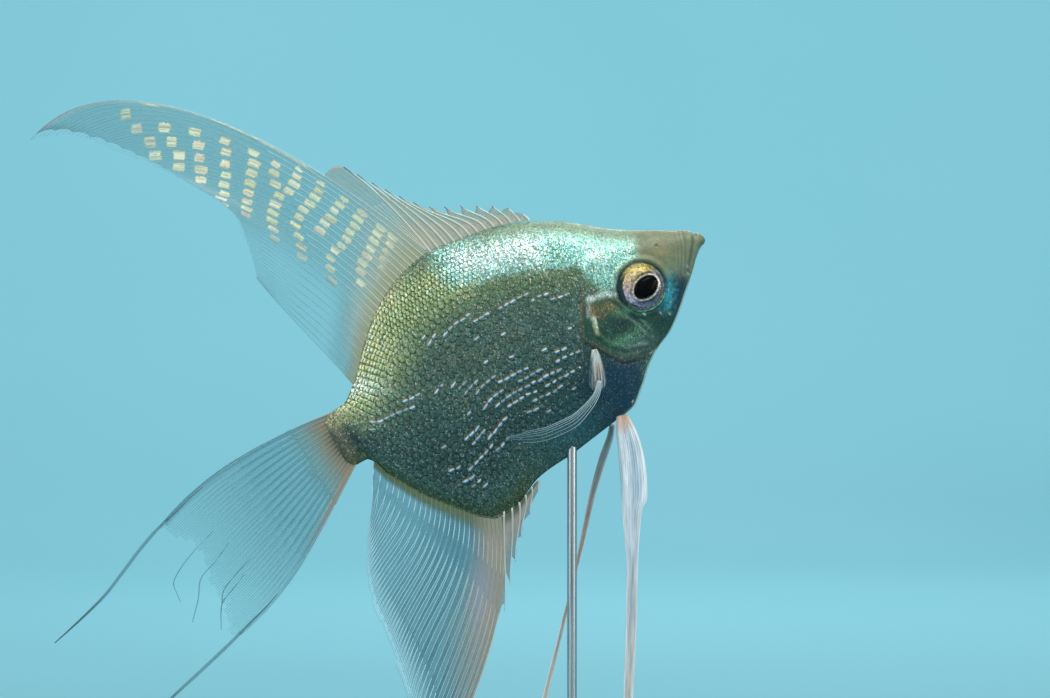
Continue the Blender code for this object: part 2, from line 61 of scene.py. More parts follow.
def through(pairs):
    # Smooth curve through (place, value) pairs that never overshoots them
    places, values = np.array(pairs, float).T
    steps = np.diff(values) / np.diff(places)
    product = steps[:-1] * steps[1:]
    inner = np.divide(2 * product, steps[:-1] + steps[1:], out=np.zeros_like(product), where=product > 0)
    slopes = np.concatenate([steps[:1], inner, steps[-1:]])

    def value(at):
        at = np.clip(at, places[0], places[-1])
        i = np.clip(np.searchsorted(places, at, "right") - 1, 0, len(places) - 2)
        width = places[i + 1] - places[i]
        t = (at - places[i]) / width
        return (
            (1 + 2 * t) * (1 - t) ** 2 * values[i]
            + t * (1 - t) ** 2 * width * slopes[i]
            + t * t * (3 - 2 * t) * values[i + 1]
            + t * t * (t - 1) * width * slopes[i + 1]
        )

    return value


def route(corners):
    # Place at a fraction of the length of a smooth path through corners
    corners = np.array(corners, float)
    lengths = np.concatenate([[0], np.cumsum(np.linalg.norm(np.diff(corners, axis=0), axis=1))])
    curves = [through(np.stack([lengths, c], 1)) for c in corners.T]
    return lambda fraction: np.stack([curve(np.asarray(fraction) * lengths[-1]) for curve in curves], -1)


def ease(low, high, value):
    t = np.clip((value - low) / (high - low), 0, 1)
    return t * t * (3 - 2 * t)


def hump(value, width):
    return np.exp(-((value / width) ** 2))


def unit(vectors):
    return vectors / np.maximum(np.linalg.norm(vectors, axis=-1, keepdims=True), 1e-12)


def offLine(x, z, corners):
    # Distance from a broken line in the x-z plane
    nearest = np.full(np.shape(x), 1e9)
    for (ax, az), (bx, bz) in zip(corners, corners[1:]):
        runX, runZ = bx - ax, bz - az
        t = np.clip(((x - ax) * runX + (z - az) * runZ) / (runX**2 + runZ**2), 0, 1)
        nearest = np.minimum(nearest, np.hypot(x - ax - t * runX, z - az - t * runZ))
    return nearest


def inside(x, z, corners):
    found = np.zeros(np.shape(x), bool)
    for (ax, az), (bx, bz) in zip(corners, corners[1:] + corners[:1]):
        if az != bz:
            found ^= ((az > z) != (bz > z)) & (x < (bx - ax) * (z - az) / (bz - az) + ax)
    return found


# Meshes


def gridFaces(rows, columns, loop=False):
    i, j = np.meshgrid(np.arange(rows - 1), np.arange(columns if loop else columns - 1), indexing="ij")
    after = (j + 1) % columns
    corners = [i * columns + j, i * columns + after, (i + 1) * columns + after, (i + 1) * columns + j]
    return np.stack(corners, -1).reshape(-1, 4)


def addPiece(name, points, faces, material, values=None, uv=None):
    # Mesh object from points and lists of faces; values are named numbers, vectors or colours on its points
    mesh = bpy.data.meshes.new(name)
    points = np.reshape(points, (-1, 3))
    loops = [face for block in faces for face in np.asarray(block).tolist()]
    mesh.from_pydata(toWorld(points).tolist(), [], loops)
    for label, data in (values or {}).items():
        data = np.asarray(data, np.float32)
        if label == "tint":
            layer = mesh.color_attributes.new(name=label, type="FLOAT_COLOR", domain="POINT")
            opaque = np.c_[data.reshape(-1, 3), np.ones(len(points))]
            layer.data.foreach_set("color", opaque.astype(np.float32).ravel())
        else:
            kind, key = ("FLOAT", "value") if data.size == len(points) else ("FLOAT_VECTOR", "vector")
            layer = mesh.attributes.new(name=label, type=kind, domain="POINT")
            layer.data.foreach_set(key, data.ravel())
    if uv is not None:
        layer = mesh.uv_layers.new(name="OFBake")
        corner = np.zeros(len(mesh.loops), np.int32)
        mesh.loops.foreach_get("vertex_index", corner)
        spread = uv(corner) if callable(uv) else uv[corner]
        layer.uv.foreach_set("vector", spread.astype(np.float32).ravel())
    mesh.shade_smooth()
    mesh.materials.append(material)
    piece = bpy.data.objects.new(name, mesh)
    bpy.context.scene.collection.objects.link(piece)
    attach(piece, "root")
    return piece


def tubes(paths, radii, sides, squash=1.0):
    # Closed tapering tubes along many paths of equal point counts; squash flattens them sideways
    paths, radii = np.asarray(paths, float), np.asarray(radii, float)
    many, count = radii.shape
    run = unit(np.gradient(paths, axis=1))
    aside = unit(np.cross(run, np.array([0.0, 1.0, 0.0])))
    outward = unit(np.cross(aside, run))
    turn = 2 * math.pi * np.arange(sides) / sides
    ring = aside[:, :, None] * np.cos(turn)[:, None] + outward[:, :, None] * (np.sin(turn) * squash)[:, None]
    points = paths[:, :, None] + ring * radii[:, :, None, None]
    faces = gridFaces(count, sides, loop=True)[None] + (np.arange(many) * count * sides)[:, None, None]
    start = (np.arange(many) * count * sides)[:, None] + np.arange(sides)
    caps = np.concatenate([start[:, ::-1], start + (count - 1) * sides])
    return points.reshape(-1, 3), [faces.reshape(-1, 4)[:, ::-1], caps[:, ::-1]]


def roundTube(values, sides):
    # Values of a path's points, given to the whole ring round each
    return {label: np.repeat(data.reshape(-1, 3), sides, 0) for label, data in values.items()}


def joined(blocks):
    # Several (points, faces, values) blocks as one
    points, faces, values, offset = [], [], {}, 0
    for block, blockFaces, blockValues in blocks:
        points.append(block)
        faces += [f + offset for f in blockFaces]
        for label, data in blockValues.items():
            values.setdefault(label, []).append(np.asarray(data, float))
        offset += len(block)
    return np.concatenate(points), faces, {k: np.concatenate(v) for k, v in values.items()}


# Material nodes


def socketName(key):
    # coatWeight becomes Coat Weight
    return "".join(" " + c if c.isupper() else c for c in key).title().replace("Ior", "IOR")


def newMaterial(name, **settings):
    material = bpy.data.materials.new(name)
    material.use_nodes = True
    shader = material.node_tree.nodes["Principled BSDF"]
    for key, value in settings.items():
        shader.inputs[socketName(key)].default_value = value
    return material, material.node_tree, shader


def feed(tree, shader, **outputs):
    for key, output in outputs.items():
        tree.links.new(output, shader.inputs[socketName(key)])


def isSocket(value):
    return isinstance(value, bpy.types.NodeSocket)


def node(tree, kind, inputs=None, **settings):
    made = tree.nodes.new(kind)
    for key, value in settings.items():
        setattr(made, key, value)
    for key, value in (inputs or {}).items():
        socket = made.inputs[key]
        if isSocket(value):
            tree.links.new(value, socket)
        elif value is not None:
            socket.default_value = value
    return made


def calc(tree, operation, a, b=None, clamp=False):
    return node(tree, "ShaderNodeMath", {0: a, 1: b}, operation=operation, use_clamp=clamp).outputs[0]


def plus(tree, a, b, clamp=False):
    return calc(tree, "ADD", a, b, clamp)


def minus(tree, a, b):
    return calc(tree, "SUBTRACT", a, b)


def times(tree, a, b, clamp=False):
    return calc(tree, "MULTIPLY", a, b, clamp)


def between(tree, value, low, high, toLow=0.0, toHigh=1.0, smooth=True):
    kind = "SMOOTHSTEP" if smooth else "LINEAR"
    inputs = {"Value": value, "From Min": low, "From Max": high, "To Min": toLow, "To Max": toHigh}
    return node(tree, "ShaderNodeMapRange", inputs, interpolation_type=kind).outputs["Result"]


def blendColour(tree, factor, a, b, mode="MIX"):
    a, b = (colour if isSocket(colour) else (*colour, 1.0) for colour in (a, b))
    made = node(tree, "ShaderNodeMix", {0: factor, 6: a, 7: b}, data_type="RGBA", blend_type=mode)
    return made.outputs[2]


def shaded(tree, colour, shade):
    # A colour made lighter or darker by a number
    grey = node(tree, "ShaderNodeCombineColor", {0: shade, 1: shade, 2: shade}).outputs[0]
    return blendColour(tree, 1.0, colour, grey, "MULTIPLY")


def read(tree, name, output="Fac"):
    return node(tree, "ShaderNodeAttribute", attribute_name=name).outputs[output]


def parts(tree, vector):
    return node(tree, "ShaderNodeSeparateXYZ", {0: vector}).outputs


def vectorCalc(tree, operation, a, b=None, scale=None):
    return node(tree, "ShaderNodeVectorMath", {0: a, 1: b, 3: scale}, operation=operation).outputs[0]


def stretched(tree, vector, scale):
    return vectorCalc(tree, "MULTIPLY", vector, scale)


def noise(tree, vector, scale, detail=2.0, rough=0.5):
    inputs = {"Vector": vector, "Scale": scale, "Detail": detail, "Roughness": rough}
    return node(tree, "ShaderNodeTexNoise", inputs).outputs[0]


def cells(tree, vector, scale):
    return node(tree, "ShaderNodeTexVoronoi", {"Vector": vector, "Scale": scale}).outputs


def stops(tree, factor, colours):
    made = node(tree, "ShaderNodeValToRGB", {0: factor})
    ramp = made.color_ramp
    while len(ramp.elements) < len(colours):
        ramp.elements.new(0.5)
    for element, (place, colour) in zip(ramp.elements, colours):
        element.position = place
        element.color = (*colour, 1.0)
    return made.outputs[0]


def blendNumber(tree, factor, a, b):
    return node(tree, "ShaderNodeMix", {0: factor, 2: a, 3: b}).outputs[0]


def raised(tree, height, strength, distance, facing=None):
    inputs = {"Height": height, "Strength": strength, "Distance": distance, "Normal": facing}
    return node(tree, "ShaderNodeBump", inputs).outputs[0]


# Body shape, the same outline as the solid frame

body = {
    "back": [
        (-75.6, 5.3), (-72.4, 5.5), (-69.3, 7.6), (-67.2, 9.6), (-64.3, 12.8), (-61.2, 15.7),
        (-57.7, 18.3), (-53.5, 20.5), (-48.7, 21.9), (-45.2, 22.4), (-38.6, 21.6), (-34.1, 20.8),
        (-29.6, 19.5), (-25.5, 17.7), (-21.6, 15.6), (-18.0, 13.0), (-14.5, 10.2), (-10.7, 7.8),
        (-6.1, 5.2), (-3.6, 3.75), (-2.5, 3.3), (-2.0, 2.9), (-1.55, 2.35), (-1.15, 1.66),
        (-0.85, 1.6), (-0.45, 1.35), (-0.2, 1.05), (0.0, 0.55),
    ],
    "belly": [
        (-75.6, -5.9), (-73.6, -5.9), (-72.6, -6.8), (-71.4, -10.2), (-70.0, -12.7), (-68.0, -16.1),
        (-65.4, -19.4), (-62.9, -22.4), (-60.4, -25.2), (-57.8, -26.8), (-54.6, -26.9), (-51.8, -25.9),
        (-47.6, -24.1), (-44.5, -23.6), (-40.2, -23.3), (-35.3, -22.6), (-30.6, -21.9), (-26.5, -21.3),
        (-23.0, -18.8), (-19.9, -15.9), (-17.3, -14.1), (-14.0, -12.6), (-11.5, -10.9), (-7.6, -7.5),
        (-5.3, -5.3), (-2.2, -2.3), (-1.0, -1.45), (-0.4, -1.15), (0.0, -0.75),
    ],
    "halfWidth": [
        (-75.6, 1.25), (-72.0, 1.6), (-68.0, 2.2), (-62.0, 3.2), (-55.0, 4.4), (-47.0, 5.4), (-39.0, 6.0),
        (-31.0, 6.3), (-26.0, 6.2), (-20.0, 5.6), (-14.0, 4.85), (-10.0, 4.2), (-6.0, 3.3), (-3.0, 2.45),
        (-1.0, 1.65), (-0.4, 1.35), (0.0, 0.95),
    ],
    "sharpness": [
        (-75.6, 1.15), (-66.0, 1.5), (-45.0, 1.55), (-28.0, 1.4), (-16.0, 1.25), (-4.0, 1.1), (0.0, 1.0),
    ],
    "tailBase": -75.6, "rearEnd": -77.4, "snoutEnd": 0.16, "coatDepth": 0.28,
    "eye": (-14.4, -2.4),
}
backAt, bellyAt = through(body["back"]), through(body["belly"])
halfWidthAt, sharpnessAt = through(body["halfWidth"]), through(body["sharpness"])

# Lines on the head and flank
gillEdge = [
    (-21.6, 7.6), (-23.2, 4.4), (-24.3, 2.0), (-26.6, -1.5), (-28.2, -4.6), (-28.4, -6.0), (-27.2, -7.3),
    (-26.2, -9.5), (-23.7, -12.9), (-20.1, -13.9), (-17.3, -13.5),
]
gillCover = gillEdge + [(-15.0, -11.0), (-14.5, 0.0), (-17.0, 7.0)]
cheekLine = [(-20.4, -1.6), (-18.2, -5.1), (-16.8, -10.7)]
preopercle = [(-23.6, -0.2), (-25.0, -3.0), (-25.7, -5.9), (-24.7, -8.6), (-22.4, -10.9), (-18.6, -12.0)]
mouthLine = [(-0.5, 2.2), (-0.9, 1.6), (-3.2, -1.4), (-5.6, -4.4)]
lipLine = [(-2.6, 3.4), (-3.4, 0.8), (-4.9, -1.9), (-6.3, -4.1)]
jawLine = [(-5.4, -4.6), (-8.2, -7.4), (-11.2, -9.9), (-14.6, -11.9)]
upperLateral = [
    (-24.6, 1.2), (-29.5, 4.1), (-34.2, 6.7), (-37.5, 7.2), (-41.3, 7.6), (-46.3, 7.9), (-53.0, 7.6),
]
rearLateral = [
    (-44.5, -4.6), (-48.9, -2.4), (-55.2, -0.5), (-60.9, -0.5), (-66.1, -0.7), (-70.4, -1.1), (-74.2, -1.2),
]
# folds of the lips: how far each lies behind the lip line, how deep it is and how much painted shade lies in
# it
lipFolds = ((0.0, 0.12, 0.5), (0.75, 0.08, 0.3), (1.5, 0.05, 0.2))
nostril = (-8.3, 2.9)


def bodyPoint(x, q, side):
    # q runs from 0 on the back to pi on the belly
    pinch = np.clip((body["tailBase"] - x) / (body["tailBase"] - body["rearEnd"]), 0, 1)
    blunt = np.sqrt(1 - np.clip(x / body["snoutEnd"], 0, 1) ** 2)
    top, bottom = backAt(x), bellyAt(x)
    height = (top - bottom) / 2 * (1 - 0.3 * pinch**2) * blunt
    y = halfWidthAt(x) * np.sqrt(1 - pinch**2) * blunt * np.abs(np.sin(q)) ** sharpnessAt(x)
    return np.stack([x + 0 * q, side * y, (top + bottom) / 2 + height * np.cos(q)], -1)


def bodyNormal(x, q, side):
    step = 0.02
    ahead = bodyPoint(np.minimum(x + step, body["snoutEnd"]), q, side) - bodyPoint(x - step, q, side)
    down = bodyPoint(x, np.minimum(q + step, math.pi), side) - bodyPoint(x, np.maximum(q - step, 0.0), side)
    # on the keels the side vanishes, so the way out is straight up or down
    keel = np.minimum(q, math.pi - q) < 1e-6
    normal = unit(np.cross(ahead, down) * np.asarray(side)[..., None])
    upright = np.stack([0 * x, 0 * x, np.where(q < 1, 1.0, -1.0)], -1)
    return np.where(keel[..., None], upright, normal)


def eyeDistance(x, z):
    return np.hypot(x - body["eye"][0], z - body["eye"][1])


def gillDistance(x, z):
    # Positive on the gill cover, negative behind and below it
    return offLine(x, z, gillEdge) * np.where(inside(x, z, gillCover) | (x > -17.2), 1, -1)


def relief(x, z):
    # Folds of the skin: gill cover, cheek, eye rim, lips, nostril and the bases of the long fins
    gill = gillDistance(x, z)
    height = 0.42 * ease(-0.16, 0.14, gill) * np.exp(-np.maximum(gill, 0) / 4.5) * ease(8.2, 5.5, z)
    height -= 0.16 * hump(gill + 0.38, 0.28) * ease(6, 4, z)
    rim = offLine(x, z, preopercle)
    height += 0.16 * hump(rim - 0.1, 0.32) - 0.12 * hump(rim - 0.62, 0.3) * (gill > 0)
    crease = offLine(x, z, cheekLine)
    height += 0.1 * hump(crease, 0.3) - 0.1 * hump(crease - 0.5, 0.28)
    height += 0.34 * hump(np.hypot((x + 20.6) / 1.1, (z + 7.4)), 3.2)
    eye = eyeDistance(x, z)
    height += 0.24 * hump(eye - 5.1, 0.4) - 0.1 * hump(eye - 6.0, 0.45) - 0.7 * ease(4.78, 4.4, eye)
    mouth = offLine(x, z, mouthLine)
    height += 0.2 * hump(mouth - 0.8, 0.5) - 0.22 * hump(mouth, 0.3)
    for step, depth, _ in lipFolds:
        height -= depth * hump(offLine(x + step, z, lipLine), 0.3)
    height -= 0.14 * hump(offLine(x, z, jawLine), 0.22)
    toNostril = np.hypot(x - nostril[0], z - nostril[1])
    height -= 0.3 * hump(toNostril, 0.3) - 0.1 * hump(toNostril - 0.45, 0.2)
    height += 0.05 * hump(offLine(x, z, rearLateral), 0.4) + 0.05 * hump(offLine(x, z, upperLateral), 0.4)
    edge = np.minimum(backAt(x) - z, z - bellyAt(x))
    base = ((x < -46) | ((z < 0) & (x < -50))) * ease(-75, -70, x)
    height += base * 0.05 * np.cos(2 * math.pi * x / 1.15) * ease(4.2, 1.0, edge)
    return height


def skinPoint(x, q, side):
    point, out = bodyPoint(x, q, side), bodyNormal(x, q, side)
    near = ease(0.0, 0.35, np.sin(q))
    lift = (relief(x, point[..., 2]) * near - body["coatDepth"])[..., None]
    return point + out * lift * ease(0.3, -1.6, x)[..., None], out


# Markings and painted light shared by skin and scales: zones of colour, painted sheen, highlights and shade
# laid one over another

# line along which the painted sheen over the shoulder is brightest
sheenBand = [(-20.0, 8.6), (-24.0, 11.2), (-30.0, 14.4), (-38.0, 16.8), (-44.0, 18.2)]
oliveBand = [(-24.0, 6.8), (-30.0, 9.4), (-40.0, 12.4), (-47.0, 13.8), (-55.0, 11.5), (-63.0, 6.0)]
goldBand = [(-44.0, 15.6), (-51.0, 16.6), (-58.0, 14.3), (-64.0, 9.5), (-69.0, 4.2)]
cheekGlints = ((-5.5, -4.3), (-13.6, -8.2), (-12.2, -9.2), (-16.4, -7.0), (-5.0, -3.2))
colours = {
    "flank": paint(74, 104, 97), "flankLowShade": paint(53, 80, 80), "flankWarm": paint(104, 112, 88),
    "shoulder": paint(208, 236, 232), "napeCyanAndSheen": paint(148, 208, 196), "gold": paint(160, 174, 124),
    "goldPale": paint(190, 192, 146), "goldOlive": paint(104, 126, 92), "napeRim": paint(130, 152, 128),
    "snout": paint(116, 127, 98), "snoutTan": paint(138, 133, 102), "chest": paint(24, 62, 86),
    "throat": paint(28, 72, 92), "opercle": paint(40, 78, 66), "opercleDark": paint(20, 54, 52),
    "green": paint(104, 152, 124), "brown": paint(122, 116, 76), "rust": paint(150, 104, 72),
    "eyeBlue": paint(52, 168, 190), "navy": paint(14, 42, 72), "silver": paint(206, 226, 220),
    "stalkSilver": paint(208, 220, 200), "dark": paint(26, 40, 40), "olive": paint(74, 94, 60),
    "copper": paint(128, 104, 78), "lip": paint(140, 148, 132), "mist": paint(120, 140, 138),
    "bellyTeal": paint(40, 98, 114),
}


def blob(x, z, at, size, tilt=0.0):
    turn = math.radians(tilt)
    a = (x - at[0]) * math.cos(turn) + (z - at[1]) * math.sin(turn)
    b = (z - at[1]) * math.cos(turn) - (x - at[0]) * math.sin(turn)
    return np.exp(-((a / size[0]) ** 2 + (b / size[1]) ** 2))


def ripple(x, z, size):
    # Slow even unevenness, the same each time
    a, b = x / size, z / size
    waves = np.sin(1.3 * a + 2.1 * np.sin(0.7 * b)) + np.sin(1.7 * b + 1.3 * np.sin(0.9 * a + 1))
    return 0.5 + 0.25 * waves


def markingsAndPaintedLight(x, z):
    # Colour, with painted sheen, highlights and shade laid in, and how thick the glitter lies, at a place on
    # the side
    fromBack, fromBelly = backAt(x) - z, z - bellyAt(x)
    # zone borders are ragged
    ragX, ragZ = x + 1.1 * (ripple(x, z, 0.31) - 0.5), z + 1.1 * (ripple(z, x, 0.27) - 0.5)
    tint = np.broadcast_to(colours["flank"], np.shape(x) + (3,)).copy()
    glitter = np.full(np.shape(x), 0.3)

    def lay(name, amount, sparkle=None):
        amount = np.clip(amount, 0, 1)
        tint[:] = tint + (colours[name] - tint) * amount[..., None]
        if sparkle is not None:
            glitter[:] = glitter + (sparkle - glitter) * amount

    def patch(name, amount, at, size, tilt=0.0, sparkle=None, ragged=False):
        place = (ragX, ragZ) if ragged else (x, z)
        lay(name, amount * blob(*place, at, size, tilt), sparkle)

    def stroke(name, amount, line, width, sparkle=None):
        lay(name, amount * hump(offLine(x, z, line), width), sparkle)

    # painted shade: the lower flank is darker, as though lit from above, and less so close to the belly edge
    lay("flankLowShade", ease(0, -14, z) * (0.9 - 0.65 * ease(10, 4, fromBelly)))
    patch("bellyTeal", 0.75, (-36.5, -19.5), (7.0, 4.5), sparkle=0.15)
    lay("flankWarm", 0.5 * blob(x, z, (-47, 0), (13, 6)) * ripple(x, z, 2.1), 0.35)
    patch("mist", 0.4, (-36.5, 1.5), (1.8, 1.3))
    lay("olive", 0.8 * ease(5.0, 0.8, fromBelly) * ease(-44, -52, x))
    lay("goldOlive", 0.95 * hump(offLine(ragX, ragZ, oliveBand), 4.4), 0.5)
    lay("gold", 0.95 * hump(offLine(ragX, ragZ, goldBand), 4.6), 0.7)
    lay("goldPale", 0.7 * ease(4.6, 1.6, fromBack) * ease(-50, -56, x), 0.8)
    patch("goldPale", 0.6, (-62, 10), (5, 3), -40, 0.8)
    # painted sheen from light above: the nape's own cyan glitter laid along a band over the shoulder and the
    # top of the nape, with a whiter painted highlight along the band's middle
    toSheen = offLine(ragX, ragZ, sheenBand)
    cyanSheen = ease(5.2, 2.8, toSheen) * ease(6.4, 7.8, ragZ + 0.25 * (x + 24)) * ease(-47.5, -42.5, ragX)
    lay("napeCyanAndSheen", 0.92 * cyanSheen, 0.95)
    lay("napeCyanAndSheen", 0.9 * ease(8.4, 5.6, fromBack) * ease(-30, -25, ragX) * ease(-8, -14, x), 0.95)
    lay("shoulder", hump(toSheen, 2.9) * ease(-24.5, -30.0, ragX) * ease(-45.0, -40.0, ragX), 1.0)
    patch("stalkSilver", 0.95, (-69.0, 6.6), (5.5, 1.9), -30, 1.0)
    patch("dark", 0.75, (-73.4, -1.0), (1.3, 3.2), 10)
    # a patch of the same darker tone in front of the tail
    patch("flankLowShade", 0.5, (-70, -3.5), (4, 3))
    lay("copper", 0.5 * ease(-73.6, -75.8, x))
    lay("chest", ease(-16.6, -19.0, x - 0.25 * z) * ease(-9.5, -13.5, z) * ease(-37, -27, x), 0.12)
    # head, in front of the gill opening
    head = ease(-0.2, 0.5, gillDistance(x, z)) * ease(-29, -28, x)
    lay("opercle", head * ease(1.6, -0.6, z), 0.12)
    nape = ease(-23.6, -21.8, ragX + 0.25 * (z - 6)) * ease(-1.4, 1.0, ragZ)
    # the nape's cyan glitter with painted sheen, and a white spot of painted highlight above and behind the
    # eye
    lay("napeCyanAndSheen", nape * ease(-9.0, -12.4, ragX - 0.35 * z), 0.95)
    patch("shoulder", 0.9, (-18.5, 6.0), (0.9, 1.9), 10, 1.0, ragged=True)
    patch("goldOlive", 0.5, (-22.0, 1.8), (1.6, 1.6), sparkle=0.7)
    lay("napeRim", 0.92 * ease(4.6, 1.3, backAt(x) - ragZ) * ease(-44, -30, x), 0.12)
    lay("snout", ease(-13.9, -11.0, ragX - 0.45 * (z - 3)) * ease(-4.6, -2.6, z + 0.3 * (x + 8)), 0.0)
    patch("snoutTan", 0.7, (-8.6, 1.6), (3.2, 2.6), sparkle=0.0)
    lay("snout", 0.8 * ease(5.9, 5.0, eyeDistance(x, z)) * ease(-3, 1, z) * ease(-19.2, -17.0, x), 0.1)
    stroke("silver", 0.9, [(-19.4, -1.2), (-21.0, -0.3), (-24.0, 0.2)], 0.5, 0.6)
    stroke("silver", 0.6, [(-24.0, 0.2), (-25.4, -2.4)], 0.35, 0.4)
    patch("rust", 0.6, (-24.2, -2.2), (0.9, 1.6), 20, 0.3)
    patch("brown", 0.85, (-21.6, -2.6), (2.4, 1.2), -20, 0.25)
    patch("opercleDark", 0.85, (-20.6, -6.6), (2.0, 1.7))
    patch("green", 0.6, (-19.6, -4.7), (1.5, 0.9), sparkle=0.2)
    patch("green", 0.85, (-21.4, -9.6), (3.2, 1.1), -14, 0.4, ragged=True)
    patch("green", 0.7, (-18.0, -9.0), (1.4, 0.9), sparkle=0.4, ragged=True)
    stroke("mist", 0.55, [(-19.5, -5.3), (-18.4, -8.2), (-16.9, -11.2)], 0.16, 0.1)
    patch("mist", 0.5, (-19.4, -11.6), (3.0, 1.0), -10, 0.1)
    lay("throat", ease(-9.0, -12.4, z + 0.45 * (x + 14)) * ease(-13.2, -14.2, z) * head, 0.1)
    lay("navy", 0.9 * blob(ragX, z, (-9.0, -6.9), (1.6, 3.8), -38), 0.05)
    patch("eyeBlue", 1.0, (-10.7, -6.0), (1.2, 3.2), -36, 0.3, ragged=True)
    patch("opercleDark", 0.7, (-13.5, -9.4), (2.6, 1.4), -30, 0.1)
    lay("lip", 0.5 * ease(2.0, 0.6, offLine(x, z, mouthLine)), 0.0)
    # painted shade along each fold of the lips, with lip colour just behind it
    for step, _, strength in lipFolds:
        lay("dark", strength * hump(offLine(x + step, z, lipLine), 0.14) * ease(-4.6, -2.0, z))
        lay("lip", strength * hump(offLine(x + step + 0.35, z, lipLine), 0.22) * ease(-4.6, -2.0, z), 0.0)
    stroke("goldPale", 0.95, [(-24.9, -3.0), (-25.6, -5.9)], 0.36, 0.3)
    stroke("silver", 0.8, [(-24.6, -3.2), (-25.1, -5.0)], 0.2, 0.3)
    lay("copper", 0.5 * hump(gillDistance(x, z) - 0.15, 0.3) * ease(4, 1, z), 0.1)
    lay("silver", 0.85 * ease(0.7, 0.3, fromBelly) * ease(-29, -26, x) * ease(-4, -8, x), 0.0)
    # painted shade along the mouth line
    stroke("dark", 0.5, mouthLine, 0.16)
    # painted glints: small white highlights on the cheek and at the corner of the mouth
    for spot in cheekGlints:
        patch("silver", 0.8, spot, (0.16, 0.3), 20, 0.0)
    return tint, glitter


grain = {
    "cell": (5.6, 5.6, 3.8), "sparkHighlightShare": 0.12, "lean": 0.42,
    "sparkHighlights": [
        (0.0, (0.36, 0.72, 0.92)), (0.3, (0.84, 0.94, 0.92)), (0.65, (0.9, 0.94, 0.86)),
        (0.85, (0.94, 0.7, 0.42)), (1.0, (0.94, 0.62, 0.6)),
    ],
    "shades": [
        (0.0, (0.3, 0.3, 0.3)), (0.4, (0.72, 0.72, 0.72)), (0.75, (1.14, 1.14, 1.14)), (1.0, (1.6, 1.6, 1.6)),
    ],
    "hues": [
        (0.0, (0.76, 1.04, 1.18)), (0.3, (1.0, 1.0, 1.0)), (0.55, (1.0, 1.06, 0.86)),
        (0.75, (1.2, 1.0, 0.72)), (0.9, (1.12, 0.92, 1.08)), (1.0, (0.78, 1.14, 1.06)),
    ],
}


def grained(tree, tint, glitter, place, facing):
    # Fine glitter: cells of pigment, each a little different in tone, hue and lie, a few of them painted as
    # bright sparkle highlights
    spots = cells(tree, stretched(tree, place, grain["cell"]), 1.0)
    chance = parts(tree, spots["Color"])
    shade = stops(tree, chance[0], grain["shades"])
    hue = stops(tree, chance[1], grain["hues"])
    depth = plus(tree, between(tree, glitter, 0.0, 0.3, 0.14, 0.62), times(tree, glitter, 0.3))
    lit = blendColour(tree, depth, (0.95, 0.95, 0.95), shade)
    coloured = blendColour(tree, 1.0, tint, lit, "MULTIPLY")
    toned = blendColour(tree, 1.0, coloured, hue, "MULTIPLY")
    # painted sparkle highlights, more where the glitter lies thick
    sparkle = times(tree, between(tree, chance[2], 1.0 - grain["sparkHighlightShare"], 1.0), glitter)
    reach = times(tree, plus(tree, times(tree, glitter, 0.6), 0.35), grain["lean"])
    lean = vectorCalc(tree, "SUBTRACT", spots["Color"], (0.5, 0.5, 0.5))
    lean = vectorCalc(tree, "SCALE", lean, scale=reach)
    finish = blendColour(tree, sparkle, toned, stops(tree, chance[1], grain["sparkHighlights"]))
    return finish, vectorCalc(tree, "ADD", facing, lean)


def skinMaterial():
    material, tree, shader = newMaterial(
        "angelfish skin", coatWeight=0.06, coatRoughness=0.2, specularIorLevel=0.34, subsurfaceWeight=0.08,
        subsurfaceRadius=(1.0, 0.8, 0.6), subsurfaceScale=0.0008,
    )
    place, glitter = read(tree, "place", "Vector"), read(tree, "glitter")
    own = node(tree, "ShaderNodeNewGeometry").outputs["Normal"]
    finish, facing = grained(tree, read(tree, "tint", "Color"), glitter, place, own)
    dusk = between(tree, noise(tree, place, 0.55, 4.0, 0.6), 0.3, 0.7, 0.87, 1.12)
    dryness = between(tree, noise(tree, place, 1.7, 3.0), 0.3, 0.7, 0.36, 0.54)
    feed(
        tree, shader, baseColor=shaded(tree, finish, dusk), metallic=times(tree, glitter, 0.28),
        roughness=minus(tree, dryness, times(tree, glitter, 0.14)),
        normal=raised(tree, noise(tree, place, 2.4, 4.0), 0.3, 0.00008, facing),
    )
    return material


skin = {
    "ring": 288, "headStep": 0.155, "bodyStep": 0.36, "headEnd": -30.0,
    "lips": (0.995, 0.95, 0.85, 0.7, 0.5, 0.25),
    "nodes": ["head", "lower_jaw", "gill_cover_left", "gill_cover_right", "trunk", "tail_stalk"],
}


